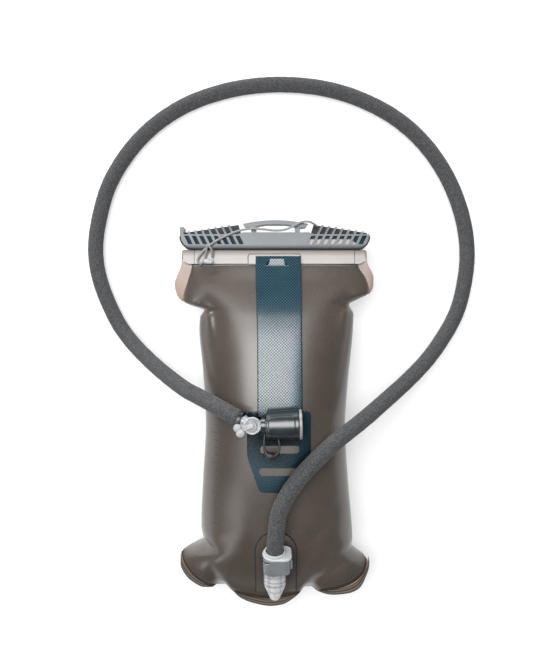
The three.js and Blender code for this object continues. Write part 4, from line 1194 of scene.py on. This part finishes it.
def anchor_outline(side, foot, head, corner):
    """The patch's outline, drawn in by a margin at its sides, its low end and its high end."""
    left, right = ANCHOR_SIDES[0] + side, ANCHOR_SIDES[1] - side
    low, high = ANCHOR_ENDS[0] + foot, ANCHOR_ENDS[1] - head
    return rounded([(left, low, 0.8), (right, low, 0.8), (right, high, corner), (left, high, corner)], 8)


def anchor_patch():
    """The clear patch under the strap's top end, with its raised rim."""
    patch = plate_piece("anchor_patch", anchor_outline(0, 0, 0, 3), lambda x, y: flat(x, y) + ANCHOR_TOP,
                        0.8, "reservoir", "rail", (), 6)
    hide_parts("strap_anchor_patch")
    loop = anchor_outline(0.6, 0.4, 0.6, 2.6)
    turn = 2 * 8                      # starts on the top edge, past the strap's right side
    path, _ = catmull([(x, y, ANCHOR_TOP) for x, y in loop[turn:] + loop[:turn]], 220)
    tube_piece("anchor_rim", path, 0.5, 10, "reservoir", "collar")


BAR_CORNERS = (-77.3, 78.6)           # middles of the bar's two round lower corners
BAR_CORNER_Y = 172.4
BAR_CORNER = 11.6
BAR_FRONT = 51.3


def bar_edge():
    """A rounded bead along the lower edge of the closure bar, dark as painted shade along that edge."""
    left = circle(BAR_CORNERS[0], BAR_CORNER_Y, BAR_CORNER, 14, math.pi, math.pi / 2)
    right = circle(BAR_CORNERS[1], BAR_CORNER_Y, BAR_CORNER, 14, 1.5 * math.pi, math.pi / 2)
    middle = [(x, BAR_CORNER_Y - BAR_CORNER) for x in np.linspace(-70, 71, 12)]
    path, _ = catmull([(x, y, BAR_FRONT) for x, y in left + middle + right], 260)
    tube_piece("bar_edge", path, 0.95, 12, "slide_bar", "thread")


def dress_cad_nodes():
    plan = {
        "rail": ["closure_rail", "rail_end_tab_left", "rail_end_tab_right"],
        "pale": ["hose_lip_ring"],
        "port": ["port_body", "port_end_cap"],
        "clear": ["tether_bead", "valve_body"],
        "collar": ["port_poppet", "plug_stem", "release_button"],
        "spring": ["poppet_spring", "button_spring"],
        "seal": ["stem_o_ring_lower", "stem_o_ring_upper", "rotor_o_ring"],
        "bar": ["slide_bar"],
        "liner": ["slide_bar_liner"],
        "silicone": ["drink_tube", "bite_valve"],
        "black": ["sleeve_end_ring", "valve_neck"],
        "rim": ["cap_rim"],
    }
    for look, names in plan.items():
        for name in names:
            dress(name, look, 0.3)


LOOKS = {
    "film": film_look(), "flange": flange_look(), "weld": weld_look(), "rail": rail_look(),
    "port": port_look(), "strap": strap_look(), "bar": bar_look(), "sleeve": sleeve_look(),
    "cord": cord_look(), "black": black_look(),
    "clear": mottled(
        "clear_plastic", (180, 3), (0.55, 0.60, 0.63), (0.78, 0.81, 0.83), (180, 3), (0.12, 0.26),
        (400, 0.03, 0.3), Transmission_Weight=0.6, IOR=1.45, Coat_Weight=0.3, Coat_Roughness=0.08),
    "frost": mottled(
        "frosted_plastic", (220, 3), (0.31, 0.315, 0.32), grey(0.44), (220, 3), (0.3, 0.45),
        (500, 0.03, 0.3), Transmission_Weight=0.25, IOR=1.45, Specular_IOR_Level=0.4),
    "liner": mottled(
        "liner_teal", (60, 2), (0.006, 0.018, 0.028), (0.012, 0.03, 0.042), (500,), (0.35, 0.5),
        (700, 0.03, 0.3), Specular_IOR_Level=0.05),
    "collar": mottled(
        "collar_grey", (70, 3), (0.12, 0.131, 0.138), (0.152, 0.163, 0.17), (600,), (0.34, 0.48),
        (800, 0.03, 0.35), Coat_Weight=0.1, Coat_Roughness=0.25),
    # Pale grey; on the collar's flange it is partly painted light, for the lit top of the same plastic as the
    # collar's body.
    "pale": mottled(
        "pale_and_lit_grey", (70, 3), (0.38, 0.40, 0.413), (0.46, 0.48, 0.493), (600,), (0.32, 0.46),
        (800, 0.03, 0.3), Specular_IOR_Level=0.5),
    "rim": mottled(
        "rim_grey", (120, 2), (0.19, 0.185, 0.18), (0.24, 0.235, 0.23), (600,), (0.3, 0.45),
        (700, 0.02, 0.3), Coat_Weight=0.1, Coat_Roughness=0.2),
    "silicone": mottled(
        "silicone", (120, 3), (0.32, 0.42, 0.50), (0.45, 0.56, 0.64), (120, 3), (0.35, 0.5),
        (500, 0.03, 0.3), Transmission_Weight=0.3, Specular_IOR_Level=0.4),
    "seal": mottled(
        "seal_rubber", (300, 2), (0.012, 0.012, 0.013), (0.03, 0.03, 0.032), (700,), (0.34, 0.5),
        (900, 0.02, 0.3), Specular_IOR_Level=0.3),
    "spring": mottled(
        "spring_steel", (400, 2), (0.42, 0.43, 0.44), (0.60, 0.61, 0.62), (900,), (0.22, 0.36),
        (1200, 0.01, 0.3), Metallic=1.0),
    # Dark thread for the stitches and the patch's edge; on the bar's lower edge and the collar's slot it is
    # painted shade.
    "thread": mottled(
        "dark_thread_and_shade", (900, 2), (0.008, 0.010, 0.013), (0.02, 0.026, 0.033), (1500,), (0.6, 0.8),
        (2500, 0.02, 0.4), Specular_IOR_Level=0.3),
    "ink": mottled(
        "printed_ink", (1400, 2), (0.035, 0.032, 0.030), (0.075, 0.068, 0.062), (900,), (0.45, 0.6),
        (1200, 0.01, 0.3), Specular_IOR_Level=0.4),
}

add_camera()
set_world(0.08)
add_softbox("overhead", (-0.17, 0.265, 1.25), (-0.17, 0.265, 0), (0.95, 0.87), 26.5)
add_softbox("key", (-0.55, 2.3, 0.36), (0, 0, 0.05), (2.4, 1.1), 76)
add_softbox("fill", (-0.85, -0.7, 0.95), (-0.04, -0.08, 0.07), (0.5, 0.8), 3.6)
dress_cad_nodes()
plug_collar()
collar_slot()
dust_cap()
keeper_loop()
shutoff_knob()
hose_sleeve()
bar_tether()
film_bag()
bottom_hem()
mouth_flange("film_flange_left", LEFT_EDGE, FLANGE_LEFT, -1)
mouth_flange("film_flange_right", RIGHT_EDGE, FLANGE_RIGHT, 1)
hand_strap()
strap_stitches()
strap_plate()
port_patch()
anchor_patch()
bar_edge()
printed_marks()

bpy.ops.mesh.primitive_plane_add(size=40, location=(0, 0, FLOOR_Z))
floor = bpy.context.active_object
floor.name = "floor"
floor.data.materials.append(floor_look())
bpy.context.scene.view_settings.view_transform = "Standard"
